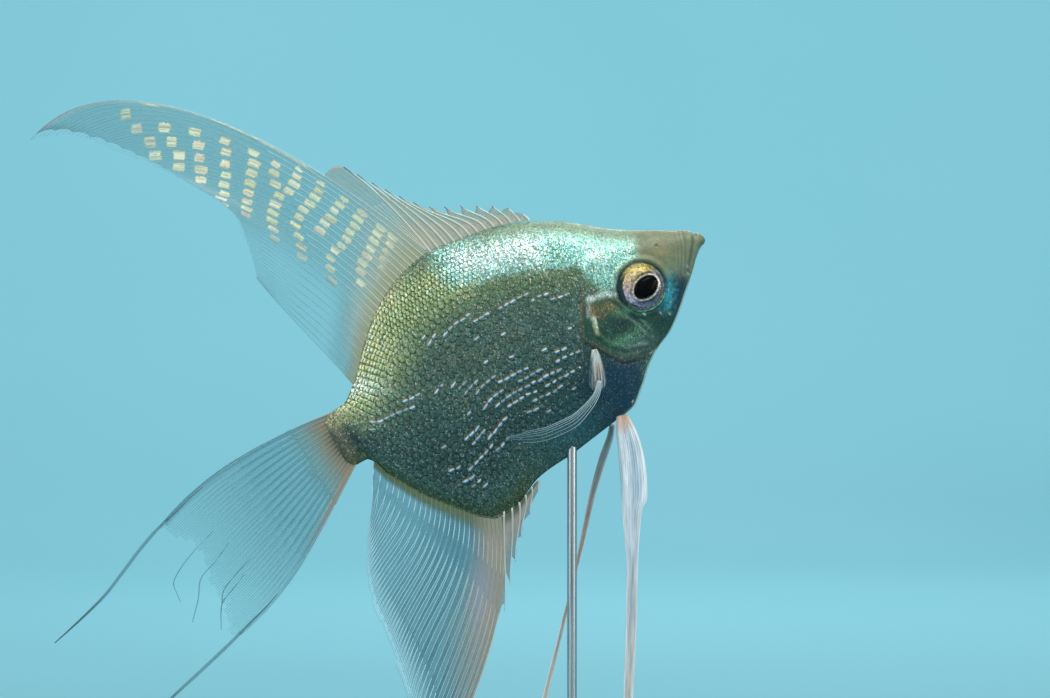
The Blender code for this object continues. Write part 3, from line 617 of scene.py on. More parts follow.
def buildSkin():
    # Rings along the body, closest together on the head
    lips = body["snoutEnd"] * np.array(skin["lips"])
    head = np.arange(0.0, skin["headEnd"], -skin["headStep"])
    restCount = int((skin["headEnd"] - body["rearEnd"]) / skin["bodyStep"])
    rest = np.linspace(skin["headEnd"], body["rearEnd"] + 0.02, restCount)
    turn = 2 * math.pi * np.arange(skin["ring"]) / skin["ring"]
    x, around = np.meshgrid(np.concatenate([lips, head, rest]), turn, indexing="ij")
    q = np.where(around <= math.pi, around, 2 * math.pi - around)
    side = np.where(around <= math.pi, 1.0, -1.0)
    points = skinPoint(x, q, side)[0]
    tint, glitter = markingsAndPaintedLight(x, points[..., 2])
    rows, columns = x.shape
    faces = gridFaces(rows, columns, loop=True)
    ends = [np.arange(columns)[None, ::-1], (rows - 1) * columns + np.arange(columns)[None]]

    def unwrap(corner):
        # the last strip round the body runs on to the far edge of the unwrap
        row, column = corner // columns, corner % columns
        onNext = np.zeros(len(corner), int)
        onNext[:len(faces) * 4] = np.tile([0, 1, 1, 0], len(faces))
        column = np.where((column == 0) & (onNext == 1), columns, column)
        return np.stack([0.02 + 0.96 * row / (rows - 1), 0.02 + 0.96 * column / columns], 1)

    values = {"tint": tint, "glitter": glitter, "place": points}
    piece = addPiece("body_skin", points, [faces, *ends], skinMaterial(), values, unwrap)
    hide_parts(*skin["nodes"])
    print("skin:", rows * columns, "points")


buildSkin()


# Scales

sideGrid = {"stations": 420, "turns": 721, "shares": 161}


def sideTable():
    # Angle q on the ring against station and share of the way from mid side to back (1) or belly (-1)
    stations = np.linspace(body["rearEnd"] + 0.05, 0.0, sideGrid["stations"])
    q = np.linspace(0, math.pi, sideGrid["turns"])
    x, around = np.meshgrid(stations, q, indexing="ij")
    ring = bodyPoint(x, around, np.ones_like(x))
    gaps = np.linalg.norm(np.diff(ring[..., 1:], axis=1), axis=-1)
    length = np.concatenate([np.zeros((len(stations), 1)), np.cumsum(gaps, axis=1)], axis=1)
    up = length[:, sideGrid["turns"] // 2]
    down, upward = length[:, -1] - up, up[:, None] - length
    shares = np.linspace(-1, 1, sideGrid["shares"])
    table = np.empty((len(stations), len(shares)))
    for i in range(len(stations)):
        reach = np.where(upward[i] > 0, upward[i] / up[i], upward[i] / down[i])
        table[i] = np.interp(shares, reach[::-1], q[::-1])
    return stations, up, down, table


tableStations, reachUp, reachDown, turnTable = sideTable()


def upAt(x):
    # Length of skin from mid side up to the back
    return np.interp(x, tableStations, reachUp)


def downAt(x):
    return np.interp(x, tableStations, reachDown)


def onSide(x, s):
    # Ring angle at x, s millimetres up the skin from mid side
    x = np.clip(x, tableStations[0], tableStations[-1])
    share = np.where(s > 0, s / upAt(x), s / downAt(x))
    row = (x - tableStations[0]) / (tableStations[1] - tableStations[0])
    column = (np.clip(share, -1, 1) + 1) * (sideGrid["shares"] // 2)
    i = np.clip(row.astype(int), 0, turnTable.shape[0] - 2)
    j = np.clip(column.astype(int), 0, turnTable.shape[1] - 2)
    a, b = row - i, column - j
    return (
        turnTable[i, j] * (1 - a) * (1 - b) + turnTable[i + 1, j] * a * (1 - b)
        + turnTable[i, j + 1] * (1 - a) * b + turnTable[i + 1, j + 1] * a * b
    )


scales = {
    "flank": {"length": 2.15, "width": 1.02, "pitch": 1.3, "row": 1.5},
    "small": {"length": 1.35, "width": 0.66, "pitch": 0.82, "row": 0.92},
    "grid": (5, 4), "lift": 0.15, "sink": 0.03, "thick": 0.22, "patch": 0.0015, "perPiece": 2200,
}


def scalePattern(along, across):
    # One scale as a closed plate: a from its root (0) to its rear edge (1), b over its width (-1 to 1)
    a, b = np.meshgrid(np.linspace(0, 1, along + 1), np.linspace(-1, 1, across + 1), indexing="ij")
    front = 1 - 0.28 * np.clip((0.4 - a) / 0.4, 0, 1) ** 2
    rear = np.sqrt(1 - np.clip((a - 0.4) / 0.64, 0, 1) ** 2)
    b = b * front * rear
    a = a - 0.1 * (b**2) * (a > 0.4)
    lift = ease(-0.05, 0.75, a) * (1 - 0.28 * ease(0.78, 1.0, a)) - 0.34 * b**2 * ease(0, 0.5, a)
    # the underside has its own points except along the rim
    inner = np.zeros(a.shape, bool)
    inner[1:-1, 1:-1] = True
    a, b, lift, inner = a.ravel(), b.ravel(), lift.ravel(), inner.ravel()
    under = np.arange(a.size)
    under[inner] = a.size + np.arange(inner.sum())
    faces = gridFaces(along + 1, across + 1)
    return (
        np.concatenate([a, a[inner]]), np.concatenate([b, b[inner]]),
        np.concatenate([lift, lift[inner] - scales["thick"]]),
        np.concatenate([faces, under[faces][:, ::-1]]),
    )


def glintChance(x, z):
    # How likely a scale is to carry a painted highlight streak
    rows = 0.95 * blob(x, z, (-37, -8.5), (8, 3.6), 4) + 0.5 * blob(x, z, (-47, -7), (7, 4))
    rows += 0.6 * blob(x, z, (-52, -13.5), (4.5, 3.2)) + 2.2 * hump(offLine(x, z, rearLateral), 0.62)
    rows += 1.9 * hump(offLine(x, z, upperLateral), 0.6) + 0.4 * blob(x, z, (-58, -17), (5, 4))
    return np.clip(rows + 0.12 * blob(x, z, (-45, -4), (18, 10)), 0, 1.3) * ease(-76, -73, x)


def crispness(x, z):
    # How clearly the scales stand out from each other
    bold = 0.12 + 0.8 * hump(offLine(x, z, goldBand), 4.5) + 0.15 * ease(-45, -60, x)
    return np.clip(bold, 0.0, 1) * ease(-22, -44, x)


def staggered(first, last, pitch, j):
    # Places along row j, every other row half a step back
    return np.arange(first, last, -pitch) - pitch / 2 * (j % 2)


def heightOn(x, s):
    # z at that place on the side
    return bodyPoint(x, onSide(x, s), np.ones_like(x))[:, 2]


def scaleRows():
    # Roots of all scales on one side: place along, place up the skin, length, width and lie
    found, flank, small = [], scales["flank"], scales["small"]

    def keep(x, s, kind, mask, lie=0.0, share=1.0):
        long, wide = (np.full(x.shape, kind[size] * share) for size in ("length", "width"))
        found.append(np.stack([x, s, long, wide, lie + 0 * x], 1)[mask])

    for j in range(-18, 19):
        # rows over the flank
        x = staggered(-21.0, -76.0, flank["pitch"], j)
        s = np.full(x.shape, j * flank["row"])
        z = heightOn(x, s)
        clear = (upAt(x) - s > 4.6 + 5.4 * ease(-26, -36, x)) & (s + downAt(x) > 4.4) & (x < -20)
        breast = (z < -10.5) & (x > -31 - (z + 10.5) * 0.6)
        keep(x, s, flank, (gillDistance(x, z) < -0.1) & clear & ~breast)
    for j in range(13):
        # rows that follow the back and the belly
        for reach, sign, first in ((upAt, 1, -12.5), (downAt, -1, -17.5)):
            x = staggered(first, -75.5, small["pitch"], j)
            s = sign * (reach(x) - 0.35 - j * small["row"])
            z = heightOn(x, s)
            behind = (gillDistance(x, z) < -0.1) | (z > 4.5) | (x < -28)
            deep = 6.5 + 6 * ease(-26, -36, x) * (sign > 0)
            keep(x, s, small, behind & (np.abs(s) > 3) & (j < deep), -np.arctan(np.gradient(s, x)))
    for j in range(-34, 12):
        # breast, nape and cheek in small even rows
        x = staggered(-13.0, -37.0, small["pitch"], j)
        s = np.full(x.shape, j * small["row"] * 0.9)
        z = heightOn(x, s)
        gill = gillDistance(x, z)
        inner = (upAt(x) - s > 5.9) & (s + downAt(x) > 0.6)
        breast = (gill < -0.1) & (z < -10.0) & (x > -32.5 - (z + 10.5) * 0.6) & (x < -17)
        nape = (z > 4.2) & (x > -23.5) & (x < -14.2 - 0.3 * (z - 5)) & (gill > -3)
        cheek = (gill > 0.35) & (z < -3.0) & (x < -17.5) & (x > -27) & (offLine(x, z, preopercle) > 0.8)
        keep(x, s, small, inner & (breast | nape) & (eyeDistance(x, z) > 5.6))
        keep(x, s, small, inner & cheek & (z > -11.6), share=0.95)
    return np.concatenate(found)


def scaleMaterial():
    material, tree, shader = newMaterial(
        "angelfish scales", coatWeight=0.08, coatRoughness=0.15, specularIorLevel=0.34,
    )
    place, glitter, crisp = read(tree, "place", "Vector"), read(tree, "glitter"), read(tree, "crisp")
    along, across, luck = parts(tree, read(tree, "mark", "Vector"))
    # where the coat lies flat the shading follows the body, and elsewhere each scale
    share = plus(tree, times(tree, crisp, 0.8), 0.28, clamp=True)
    own = node(tree, "ShaderNodeNewGeometry").outputs["Normal"]
    inputs = {0: share, 4: read(tree, "smooth", "Vector"), 5: own}
    own = node(tree, "ShaderNodeMix", inputs, data_type="VECTOR").outputs[1]
    finish, facing = grained(tree, read(tree, "tint", "Color"), glitter, place, own)
    # where the scales stand out a painted highlight arc lies before the rear edge, which is darker; where the
    # coat lies flat the rear edge is painted lighter to offset the shade of the raised edges; and each scale
    # differs a little
    highlightArc = times(tree, between(tree, along, 0.42, 0.66), between(tree, along, 0.9, 0.74))
    light = plus(tree, times(tree, highlightArc, 0.85), 0.72)
    edge = times(tree, light, between(tree, along, 0.82, 1.0, 1.0, 0.55))
    plain = blendNumber(tree, crisp, between(tree, along, 0.7, 1.0, 0.92, 1.3), edge)
    each = between(tree, luck, 0.0, 1.0, 0.9, 1.11, smooth=False)
    finish = shaded(tree, finish, times(tree, plain, each))
    wave = times(tree, minus(tree, noise(tree, place, 1.4, 2.0), 0.5), 0.35)
    height = plus(tree, across, wave)
    reach = times(tree, minus(tree, along, 0.66), plus(tree, times(tree, luck, -1.5), 3.5))
    taper, glint = times(tree, reach, reach), read(tree, "glint")

    def glintDash(at, wide):
        # A lens-shaped painted highlight dash along the scale
        off = calc(tree, "DIVIDE", calc(tree, "ABSOLUTE", minus(tree, height, at)), wide)
        return times(tree, between(tree, plus(tree, off, taper), 1.2, 0.35), glint)

    # painted glint on the chosen scales: an orange fringe above, a blue fringe below and a white core
    finish = blendColour(tree, times(tree, glintDash(0.2, 0.17), 0.75), finish, paint(206, 150, 88))
    finish = blendColour(tree, times(tree, glintDash(-0.2, 0.22), 0.85), finish, paint(74, 140, 190))
    finish = blendColour(tree, glintDash(0.0, 0.18), finish, paint(240, 250, 250))
    dryness = between(tree, noise(tree, place, 1.7, 3.0), 0.3, 0.7, 0.34, 0.52)
    ridges = calc(tree, "SINE", times(tree, along, 46.0))
    feed(
        tree, shader, baseColor=finish, roughness=minus(tree, dryness, times(tree, glitter, 0.14)),
        metallic=plus(tree, times(tree, glitter, 0.26), 0.1),
        normal=raised(tree, ridges, 0.3, 0.00001, facing),
    )
    return material


def buildScales():
    rows, material, total = scaleRows(), scaleMaterial(), 0
    a, b, lift, faces = scalePattern(*scales["grid"])
    count = len(a)
    for side, word in bothSides:
        roots = rows[draw.permutation(len(rows))]
        rootX, rootS, length, width, lie = roots[np.argsort(roots[:, 0])].T
        many = len(rootX)
        luck, wobble, rise = draw.random(many), draw.normal(0, 0.05, many), draw.normal(1, 0.16, many)
        size = draw.normal(1, 0.05, many)
        turn, long, wide = (lie + wobble)[:, None], length * size, width * size
        forth, aside = a * long[:, None], b * wide[:, None]
        x = rootX[:, None] - forth * np.cos(turn) - aside * np.sin(turn)
        s = rootS[:, None] - forth * np.sin(turn) + aside * np.cos(turn)
        x = np.maximum(x, body["rearEnd"] + 0.4)
        base, out = skinPoint(x, onSide(x, s), np.full(x.shape, float(side)))
        # each scale takes its looks from one place, its middle
        middleX = rootX - long * 0.5
        place = middleX, heightOn(middleX, rootS)
        crisp = crispness(*place)
        rise = rise * (0.27 + 0.75 * crisp) * (long / scales["flank"]["length"]) ** 0.7
        points = base + out * (lift * scales["lift"] * rise[:, None] - scales["sink"])[..., None]
        tint, glitter = markingsAndPaintedLight(*place)
        # painted highlight streaks run on from scale to scale along a row
        row = np.round(rootS / scales["flank"]["row"])
        run = 0.5 + 0.5 * np.sin(0.62 * rootX + 2.3 * row + 1.1 * np.sin(0.27 * rootX * (1 + 0.1 * row)))
        lit = 0.8 * run + 0.35 * draw.random(many) < glintChance(*place)
        glint = (lit & (length > 1.6 - (middleX < -62))) * draw.uniform(0.35, 1.0, many)
        # unwrap of this side of the skin, where each scale is a small patch at its root
        flatX = (middleX - body["rearEnd"]) / -body["rearEnd"]
        flatZ = onSide(rootX, rootS) / math.pi
        patch = scales["patch"]
        uv = np.stack([flatX[:, None] - a * patch * 2 + patch, flatZ[:, None] - b * patch], -1).reshape(-1, 2)
        mark = np.stack(np.broadcast_arrays(a, b, luck[:, None]), -1)
        values = {
            "tint": np.repeat(tint, count, 0), "glitter": np.repeat(glitter, count),
            "smooth": unit(toWorld(out) - toWorld(np.zeros(3))).reshape(-1, 3),
            "glint": np.repeat(glint, count), "crisp": np.repeat(crisp, count),
            "place": points.reshape(-1, 3), "mark": mark.reshape(-1, 3),
        }
        for part, first in enumerate(range(0, many, scales["perPiece"])):
            last = min(first + scales["perPiece"], many)
            cut = slice(first * count, last * count)
            shown = {label: data[cut] for label, data in values.items()}
            some = (faces[None] + (np.arange(last - first) * count)[:, None, None]).reshape(-1, 4)
            name = f"scales_{word}_{part + 1}"
            addPiece(name, shown["place"], [some], material, shown, uv[cut])
        total += many
    print("scales:", total, "of", 2 * len(faces), "triangles each")


buildScales()


# Eyes

eyes = {
    "turn": 8.0, "outer": 4.8, "pupil": (2.5, 1.78), "pupilAt": (0.6, -0.5), "pupilTilt": 16.0,
    "middle": (-15.0, -2.4), "around": 144, "irisRings": 52,
    "face": [
        (0.0, 4.74), (1.9, 4.7), (2.3, 4.72), (3.2, 4.54), (3.62, 4.42), (4.2, 4.4), (4.5, 4.24), (4.8, 3.5),
    ],
    "dome": [(0.0, 5.58), (1.1, 5.53), (2.1, 5.37), (3.1, 5.1), (3.9, 4.8), (4.4, 4.46), (4.55, 4.0)],
    # rings that close the ball inside the head, and how thick the lens and the film over it are
    "back": ((4.8, 3.2), (3.6, 2.5), (1.8, 2.2)), "lens": 1.12, "lensAt": 3.72, "film": 0.06,
    # colours round the iris against the angle from straight ahead
    "iris": [
        (-29, (58, 64, 80)), (0, (90, 98, 108)), (30, (140, 132, 104)), (61, (212, 192, 124)),
        (90, (226, 204, 152)), (120, (222, 188, 150)), (150, (226, 194, 178)), (178, (234, 200, 210)),
        (200, (230, 206, 230)), (228, (150, 144, 182)), (256, (102, 116, 138)), (290, (92, 106, 122)),
        (331, (58, 64, 80)),
    ],
}


def eyeSpot(side, right, up, out):
    turn = math.radians(eyes["turn"])
    forward = np.array([math.cos(turn), -side * math.sin(turn), 0.0])
    outward = np.array([math.sin(turn), side * math.cos(turn), 0.0])
    centre = np.array([eyes["middle"][0], 0.0, eyes["middle"][1]])
    flat = right[..., None] * forward + up[..., None] * np.array([0, 0, 1.0])
    return centre + flat + (out + 0 * right)[..., None] * outward


def irisMaterial():
    material, tree, shader = newMaterial(
        "iris", metallic=0.3, roughness=0.34, coatWeight=0.2, coatRoughness=0.08,
    )
    flecks = noise(tree, stretched(tree, read(tree, "place", "Vector"), (1.4, 1.0, 1.4)), 1.7, 6.0, 0.68)
    finish = shaded(tree, read(tree, "tint", "Color"), between(tree, flecks, 0.34, 0.66, 0.35, 1.6))
    feed(tree, shader, baseColor=finish, normal=raised(tree, flecks, 0.3, 0.00006))
    return material


def lensMaterial():
    material, tree, shader = newMaterial("pupil", roughness=0.2, specularIorLevel=0.05)
    depth = noise(tree, read(tree, "place", "Vector"), 0.5, 2.0)
    feed(tree, shader, baseColor=stops(tree, depth, [(0.3, paint(1, 1, 3)), (0.75, paint(5, 5, 10))]))
    return material


def corneaMaterial():
    material, tree, shader = newMaterial("cornea", roughness=0.03)
    clear = node(tree, "ShaderNodeBsdfTransparent")
    gloss = node(tree, "ShaderNodeBsdfGlossy", {"Roughness": 0.06})
    film = node(tree, "ShaderNodeFresnel", {"IOR": 1.2})
    smear = noise(tree, read(tree, "place", "Vector"), 0.6, 2.0)
    share = times(tree, film.outputs[0], between(tree, smear, 0.3, 0.7, 0.6, 0.9))
    mixed = node(tree, "ShaderNodeMixShader", {0: share, 1: clear.outputs[0], 2: gloss.outputs[0]})
    out = [n for n in tree.nodes if n.type == "OUTPUT_MATERIAL"][0]
    tree.links.new(mixed.outputs[0], out.inputs["Surface"])
    tree.nodes.remove(shader)
    return material


def lathed(rings, side):
    # Faces of rings closed at both ends, turned to face out on either side of the fish
    count, around = len(rings), eyes["around"]
    faces = gridFaces(count, around, loop=True)
    ends = [np.arange(around)[None], ((count - 1) * around + np.arange(around))[None, ::-1]]
    return [faces[:, ::-1], *ends] if side < 0 else [faces, *[end[:, ::-1] for end in ends]]


def laid(tint, colour, share):
    return tint + (paint(*colour) - tint) * np.clip(share, 0, 1)[..., None]


def irisTint(radius, gap, turned):
    # radius from the middle of the eye, gap from the pupil, turned in degrees up from straight ahead
    angles = [spot[0] for spot in eyes["iris"]]
    channels = np.array([paint(*spot[1]) for spot in eyes["iris"]]).T
    tint = np.stack([through(list(zip(angles, channel)))(turned) for channel in channels], -1)
    tint = tint * (0.62 + 0.5 * ease(0.3, 1.2, gap) * ease(0.0, 0.3, 4.25 - radius))[..., None]
    rear = ease(85, 130, turned) * ease(262, 215, turned)
    crown = ease(3.1, 3.5, radius) * ease(4.3, 4.1, radius) * ease(18, 45, turned) * ease(138, 95, turned)
    lower = ease(185, 225, turned) * ease(335, 300, turned)
    front = ease(320, 345, turned) + ease(40, 10, turned)
    layers = [
        ((20, 34, 60), 0.75 * hump(gap - 0.62, 0.16) * (1 - 0.5 * rear)),
        ((22, 62, 70), ease(3.75, 3.95, radius + 0.36 * rear) * (0.12 + 0.88 * rear)),
        ((210, 190, 96), 0.9 * crown),
        ((24, 44, 50), 0.9 * hump(radius - 4.34, 0.1)),
        ((124, 168, 158), 0.85 * ease(4.42, 4.52, radius)),
        ((250, 238, 242), 0.85 * hump((turned - 198) / 13, 1.0) * hump(radius - 3.15, 0.45)),
        ((120, 208, 188), hump(radius - 4.46, 0.14) * lower),
        ((168, 144, 92), 0.8 * hump(radius - 4.05, 0.12) * lower),
        ((196, 204, 206), 0.7 * hump(radius - 3.4, 0.2) * front),
        ((146, 164, 170), 0.7 * hump(radius - 4.0, 0.14) * front),
        ((250, 232, 210), hump(gap - 0.2, 0.17)),
        ((12, 6, 6), ease(0.08, 0.03, gap)),
    ]
    for colour, share in layers:
        tint = laid(tint, colour, share)
    return tint


def buildEyes():
    iris, lens, cornea = irisMaterial(), lensMaterial(), corneaMaterial()
    face, dome = through(eyes["face"]), through(eyes["dome"])
    angle = 2 * math.pi * np.arange(eyes["around"]) / eyes["around"]
    cosine, sine = np.cos(angle), np.sin(angle)
    tilt, (major, minor), (offX, offZ) = math.radians(eyes["pupilTilt"]), eyes["pupil"], eyes["pupilAt"]
    px = offX + major * cosine * math.cos(tilt) - minor * sine * math.sin(tilt)
    pz = offZ + major * cosine * math.sin(tilt) + minor * sine * math.cos(tilt)
    bearing = np.arctan2(pz - offZ, px - offX)
    share = np.linspace(0, 1, eyes["irisRings"])[:, None] ** 0.9
    right = px + (eyes["outer"] * np.cos(bearing) - px) * share
    up = pz + (eyes["outer"] * np.sin(bearing) - pz) * share
    first = eyes["iris"][0][0]
    turned = (np.degrees(np.arctan2(up, right)) - first) % 360 + first
    radius = np.hypot(right, up)
    tint = irisTint(radius, np.hypot(right - px, up - pz), turned)
    beadRings = np.linspace(0, math.pi, 26)[1:-1, None]
    shellRings = np.linspace(0.03, 4.55, 30)[:, None]
    for side, word in bothSides:
        points = eyeSpot(side, right, up, face(radius) - 0.35 * ease(0.05, 0.0, share))
        back = [eyeSpot(side, r * np.cos(bearing), r * np.sin(bearing), depth) for r, depth in eyes["back"]]
        ball = np.concatenate([points, back])
        shown = np.concatenate([tint, np.broadcast_to(paint(30, 36, 40), np.shape(back))])
        values = {"tint": shown, "place": ball}
        piece = addPiece(f"eye_{word}_ball", ball, lathed(ball, side), iris, values)
        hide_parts(f"eye_{word}")
        wide, deep = eyes["lens"] * np.sin(beadRings), eyes["lens"] * np.cos(beadRings)
        bead = eyeSpot(side, offX + (px - offX) * wide, offZ + (pz - offZ) * wide, eyes["lensAt"] + deep)
        addPiece(f"eye_{word}_lens", bead, lathed(bead, side), lens, {"place": bead})
        outer, inner = (
            eyeSpot(side, shellRings * cosine, shellRings * sine, dome(shellRings) - inset)
            for inset in (0.0, eyes["film"])
        )
        shell = np.concatenate([outer, inner[::-1]])
        addPiece(f"eye_{word}_cornea", shell, lathed(shell, side), cornea, {"place": shell})
    print("eyes")


buildEyes()


# Fins: thin membranes on rays that split towards their tips


def heading(degrees):
    turn = np.radians(degrees)
    return np.stack([np.cos(turn), np.sin(turn)], -1)


def offOutline(edge, x, clear):
    # A place a little clear of the back or the belly
    run = unit(np.stack([np.full(np.shape(x), 0.2), edge(x + 0.1) - edge(x - 0.1)], -1))
    return np.stack([x, edge(x)], -1) + np.stack([-run[..., 1], run[..., 0]], -1) * clear


def fanSpot(fin, u, t):
    # u from the first ray (0) to the last (1), t from the base (0) to the tip (1)
    u, t = np.broadcast_arrays(np.asarray(u, float), np.asarray(t, float))
    base, tip = fin["base"](u), fin["tip"](u)
    leave, arrive = heading(fin["start"](u)), heading(fin["end"](u))
    length = np.linalg.norm(tip - base, axis=-1, keepdims=True)
    reach, reachEnd = length * fin["pull"], length * fin.get("pullEnd", fin["pull"])
    k = np.maximum(t, 0)[..., None]
    flat = (
        base * (1 - k) ** 3 + (base + leave * reach) * 3 * k * (1 - k) ** 2
        + (tip - arrive * reachEnd) * 3 * k * k * (1 - k) + tip * k**3
    )
    flat = flat + leave * length * np.minimum(t, 0)[..., None]
    wave = fin["wave"] * np.sin(2 * math.pi * (fin["waves"] * u + 0.9 * t)) * np.maximum(t, 0) ** 1.5
    return np.stack([flat[..., 0], fin["sway"](u) * np.maximum(t, 0) ** 2 + wave, flat[..., 1]], -1)


def stripSpot(fin, u, t):
    # Narrow fin along a path: u over its width, t from root to tip
    u, t = np.broadcast_arrays(np.asarray(u, float), np.asarray(t, float))
    t = np.clip(t, 0, 1)
    run = unit(fin["path"](np.minimum(t + 0.004, 1)) - fin["path"](np.maximum(t - 0.004, 0)))
    across = unit(np.cross(run, fin["facing"]))
    w = 2 * u - 1
    half = np.where(w > 0, fin["front"](t), fin["rear"](t))
    bow = np.cross(across, run) * (fin["bow"] * (1 - w**2) * half)[..., None]
    return fin["path"](t) + across * (w * half)[..., None] + bow


def sheet(fin):
    # Thin closed membrane; fin["edge"] is how far it reaches along each line
    across = fin["across"] if np.ndim(fin["across"]) else np.linspace(0, 1, fin["across"])
    u, k = np.meshgrid(across, np.linspace(0, 1, fin["along"]), indexing="ij")
    t = fin["root"] + (fin["edge"](u) - fin["root"]) * k
    middle = fin["spot"](fin, u, t)
    normal = unit(np.cross(np.gradient(middle, axis=0), np.gradient(middle, axis=1)))
    normal = normal * np.where(normal[..., 1:2] < 0, -1, 1)
    half = (fin["thick"] / 2 * (1 - 0.6 * k) * fin.get("section", lambda u: 1 + 0 * u)(u))[..., None]
    points = np.concatenate([middle - normal * half, middle + normal * half]).reshape(-1, 3)
    rows, columns = u.shape
    faces, count = gridFaces(rows, columns), rows * columns
    index = np.arange(count).reshape(rows, columns)
    ring = np.concatenate([index[0, :-1], index[:-1, -1], index[-1, :0:-1], index[:0:-1, 0]])
    after = np.roll(ring, -1)
    walls = np.stack([ring, after, after + count, ring + count], 1)
    a, b, c = points[faces[len(faces) // 2][:3]]
    flip = np.cross(b - a, c - b)[1] > 0
    blocks = [faces, faces[:, ::-1] + count, walls[:, ::-1]]
    return points, [block[:, ::-1] for block in blocks] if flip else blocks, u, t, middle


def rayTubes(fin):
    # Tubes along the rays, split in two again and again towards the tip
    rays, sides = np.linspace(0, 1, fin["rays"] + 1)[:, None], 6
    blocks, offsets, start = [], [(0.0, 0.0)], fin["root"]
    ends, steps, (rootThick, tipThick) = [*fin["splits"], 1.0], fin["raySteps"], fin["rayThick"]
    last = fin["edge"](rays)
    stray = draw.uniform(0.4, 1.6, rays.shape)
    for level, end in enumerate(ends):
        k = np.linspace(0, 1, steps[level])[None]
        for offset, parent in offsets:
            t = start + (end - start) * k + 0 * rays
            over = fin["overhang"] * stray * ease(0.8, 1, t)
            t = np.minimum(t * (last if end == 1.0 else 1), last) + over
            u = np.clip(rays + parent + (offset - parent) * ease(0, 0.8, k), 0, 1)
            paths = fin["spot"](fin, u, t)
            share = np.clip((t - fin["root"]) / (1 - fin["root"]), 0, 1)
            radii = (rootThick + (tipThick - rootThick) * share**0.7) * (0.72 if level else 1.0)
            points, faces = tubes(paths, radii * fin.get("slim", lambda u: 1)(u), sides)
            values = {"tint": fin["rayTint"](u, t), "line": np.stack([u, t, paths[..., 2]], -1)}
            blocks.append((points, faces, roundTube(values, sides)))
        start = end
        reach = fin.get("cell", 0.0) * 0.25 / 2**level
        offsets = [(offset + step, offset) for offset, _ in offsets for step in (-reach, reach)]
    return joined(blocks)


def rayMaterial(name):
    material, tree, shader = newMaterial(name, roughness=0.35, coatWeight=0.2, coatRoughness=0.1)
    line = parts(tree, read(tree, "line", "Vector"))
    joints = calc(tree, "FRACT", times(tree, line[1], 58.0))
    finish = shaded(tree, read(tree, "tint", "Color"), between(tree, joints, 0.0, 0.25, 0.82, 1.06))
    feed(tree, shader, baseColor=finish)
    return material


def membraneMaterial(name, count, glow=None):
    material, tree, shader = newMaterial(name, roughness=0.32, coatWeight=0.15, coatRoughness=0.1)
    place, line = read(tree, "place", "Vector"), read(tree, "line", "Vector")
    fine = noise(tree, stretched(tree, line, (count * 5.0, 5.0, 0.0)), 1.0, 3.0, 0.6)
    streaky = between(tree, fine, 0.3, 0.7, 0.8, 1.2)
    finish = shaded(tree, read(tree, "tint", "Color"), streaky)
    alpha = times(tree, read(tree, "veil"), streaky, clamp=True)
    if glow:
        # bright spots with ragged edges, each a little different
        ragged = times(tree, minus(tree, noise(tree, place, 1.6, 3.0), 0.5), 0.45)
        ragged = plus(tree, ragged, times(tree, minus(tree, fine, 0.5), 1.5))
        mask = between(tree, plus(tree, read(tree, "spot"), ragged), 0.07, -0.12)
        mask = times(tree, mask, read(tree, "spotted"), clamp=True)
        speckle = parts(tree, cells(tree, stretched(tree, place, (2.6, 1.0, 2.6)), 1.0)["Color"])[0]
        mottle = plus(tree, times(tree, read(tree, "luck"), 0.6), times(tree, speckle, 0.4))
        lit = shaded(tree, stops(tree, mottle, glow), between(tree, fine, 0.32, 0.68, 0.54, 1.18))
        finish, alpha = blendColour(tree, mask, finish, lit), blendNumber(tree, mask, alpha, 0.86)
    feed(tree, shader, baseColor=finish, alpha=alpha, normal=raised(tree, fine, 0.12, 0.00006))
    return material


def limbMaterial(name, count):
    # Fleshy or silky opaque fin with fine lengthwise streaks
    material, tree, shader = newMaterial(
        name, roughness=0.34, coatWeight=0.25, coatRoughness=0.12, subsurfaceWeight=0.15,
        subsurfaceRadius=(1.0, 0.7, 0.6), subsurfaceScale=0.0006,
    )
    line = read(tree, "line", "Vector")
    fine = noise(tree, stretched(tree, line, (count * 2.2, 6.0, 0.0)), 1.0, 4.0, 0.65)
    wide = noise(tree, stretched(tree, line, (count * 0.5, 16.0, 0.0)), 1.0, 2.0)
    finish = shaded(tree, read(tree, "tint", "Color"), between(tree, fine, 0.3, 0.7, 0.7, 1.18))
    finish = shaded(tree, finish, between(tree, wide, 0.3, 0.7, 0.86, 1.08))
    feed(tree, shader, baseColor=finish, normal=raised(tree, fine, 0.4, 0.0001))
    return material


def together(shares, u, t):
    # Product of shares that each change over the fin
    return np.clip(math.prod(share(u, t) for share in shares) + 0 * (u + t), 0, 1)


def alongRay(low, high, share=1.0):
    # Share that rises from t at low to t at high, or falls where low is the larger
    return lambda u, t: share * ease(low, high, t)


def acrossFin(low, high, share=1.0):
    return lambda u, t: share * ease(low, high, u)


def finColours(u, t, paints):
    # Colours and how opaque each is, laid over each other, each by the product of its shares
    tint, veil = np.broadcast_to(paint(*paints[0][0]), u.shape + (3,)), np.full(u.shape, float(paints[0][1]))
    for colour, alpha, *shares in paints[1:]:
        share = together(shares, u, t)
        tint, veil = laid(tint, colour, share), veil + (alpha - veil) * share
    return tint, veil


def fading(first, *steps):
    # Colour of the rays: the first, and others laid over it
    def tint(u, t):
        shown = np.broadcast_to(paint(*first), np.shape(u + t) + (3,))
        for colour, *shares in steps:
            shown = laid(shown, colour, together(shares, u, t))
        return shown

    return tint


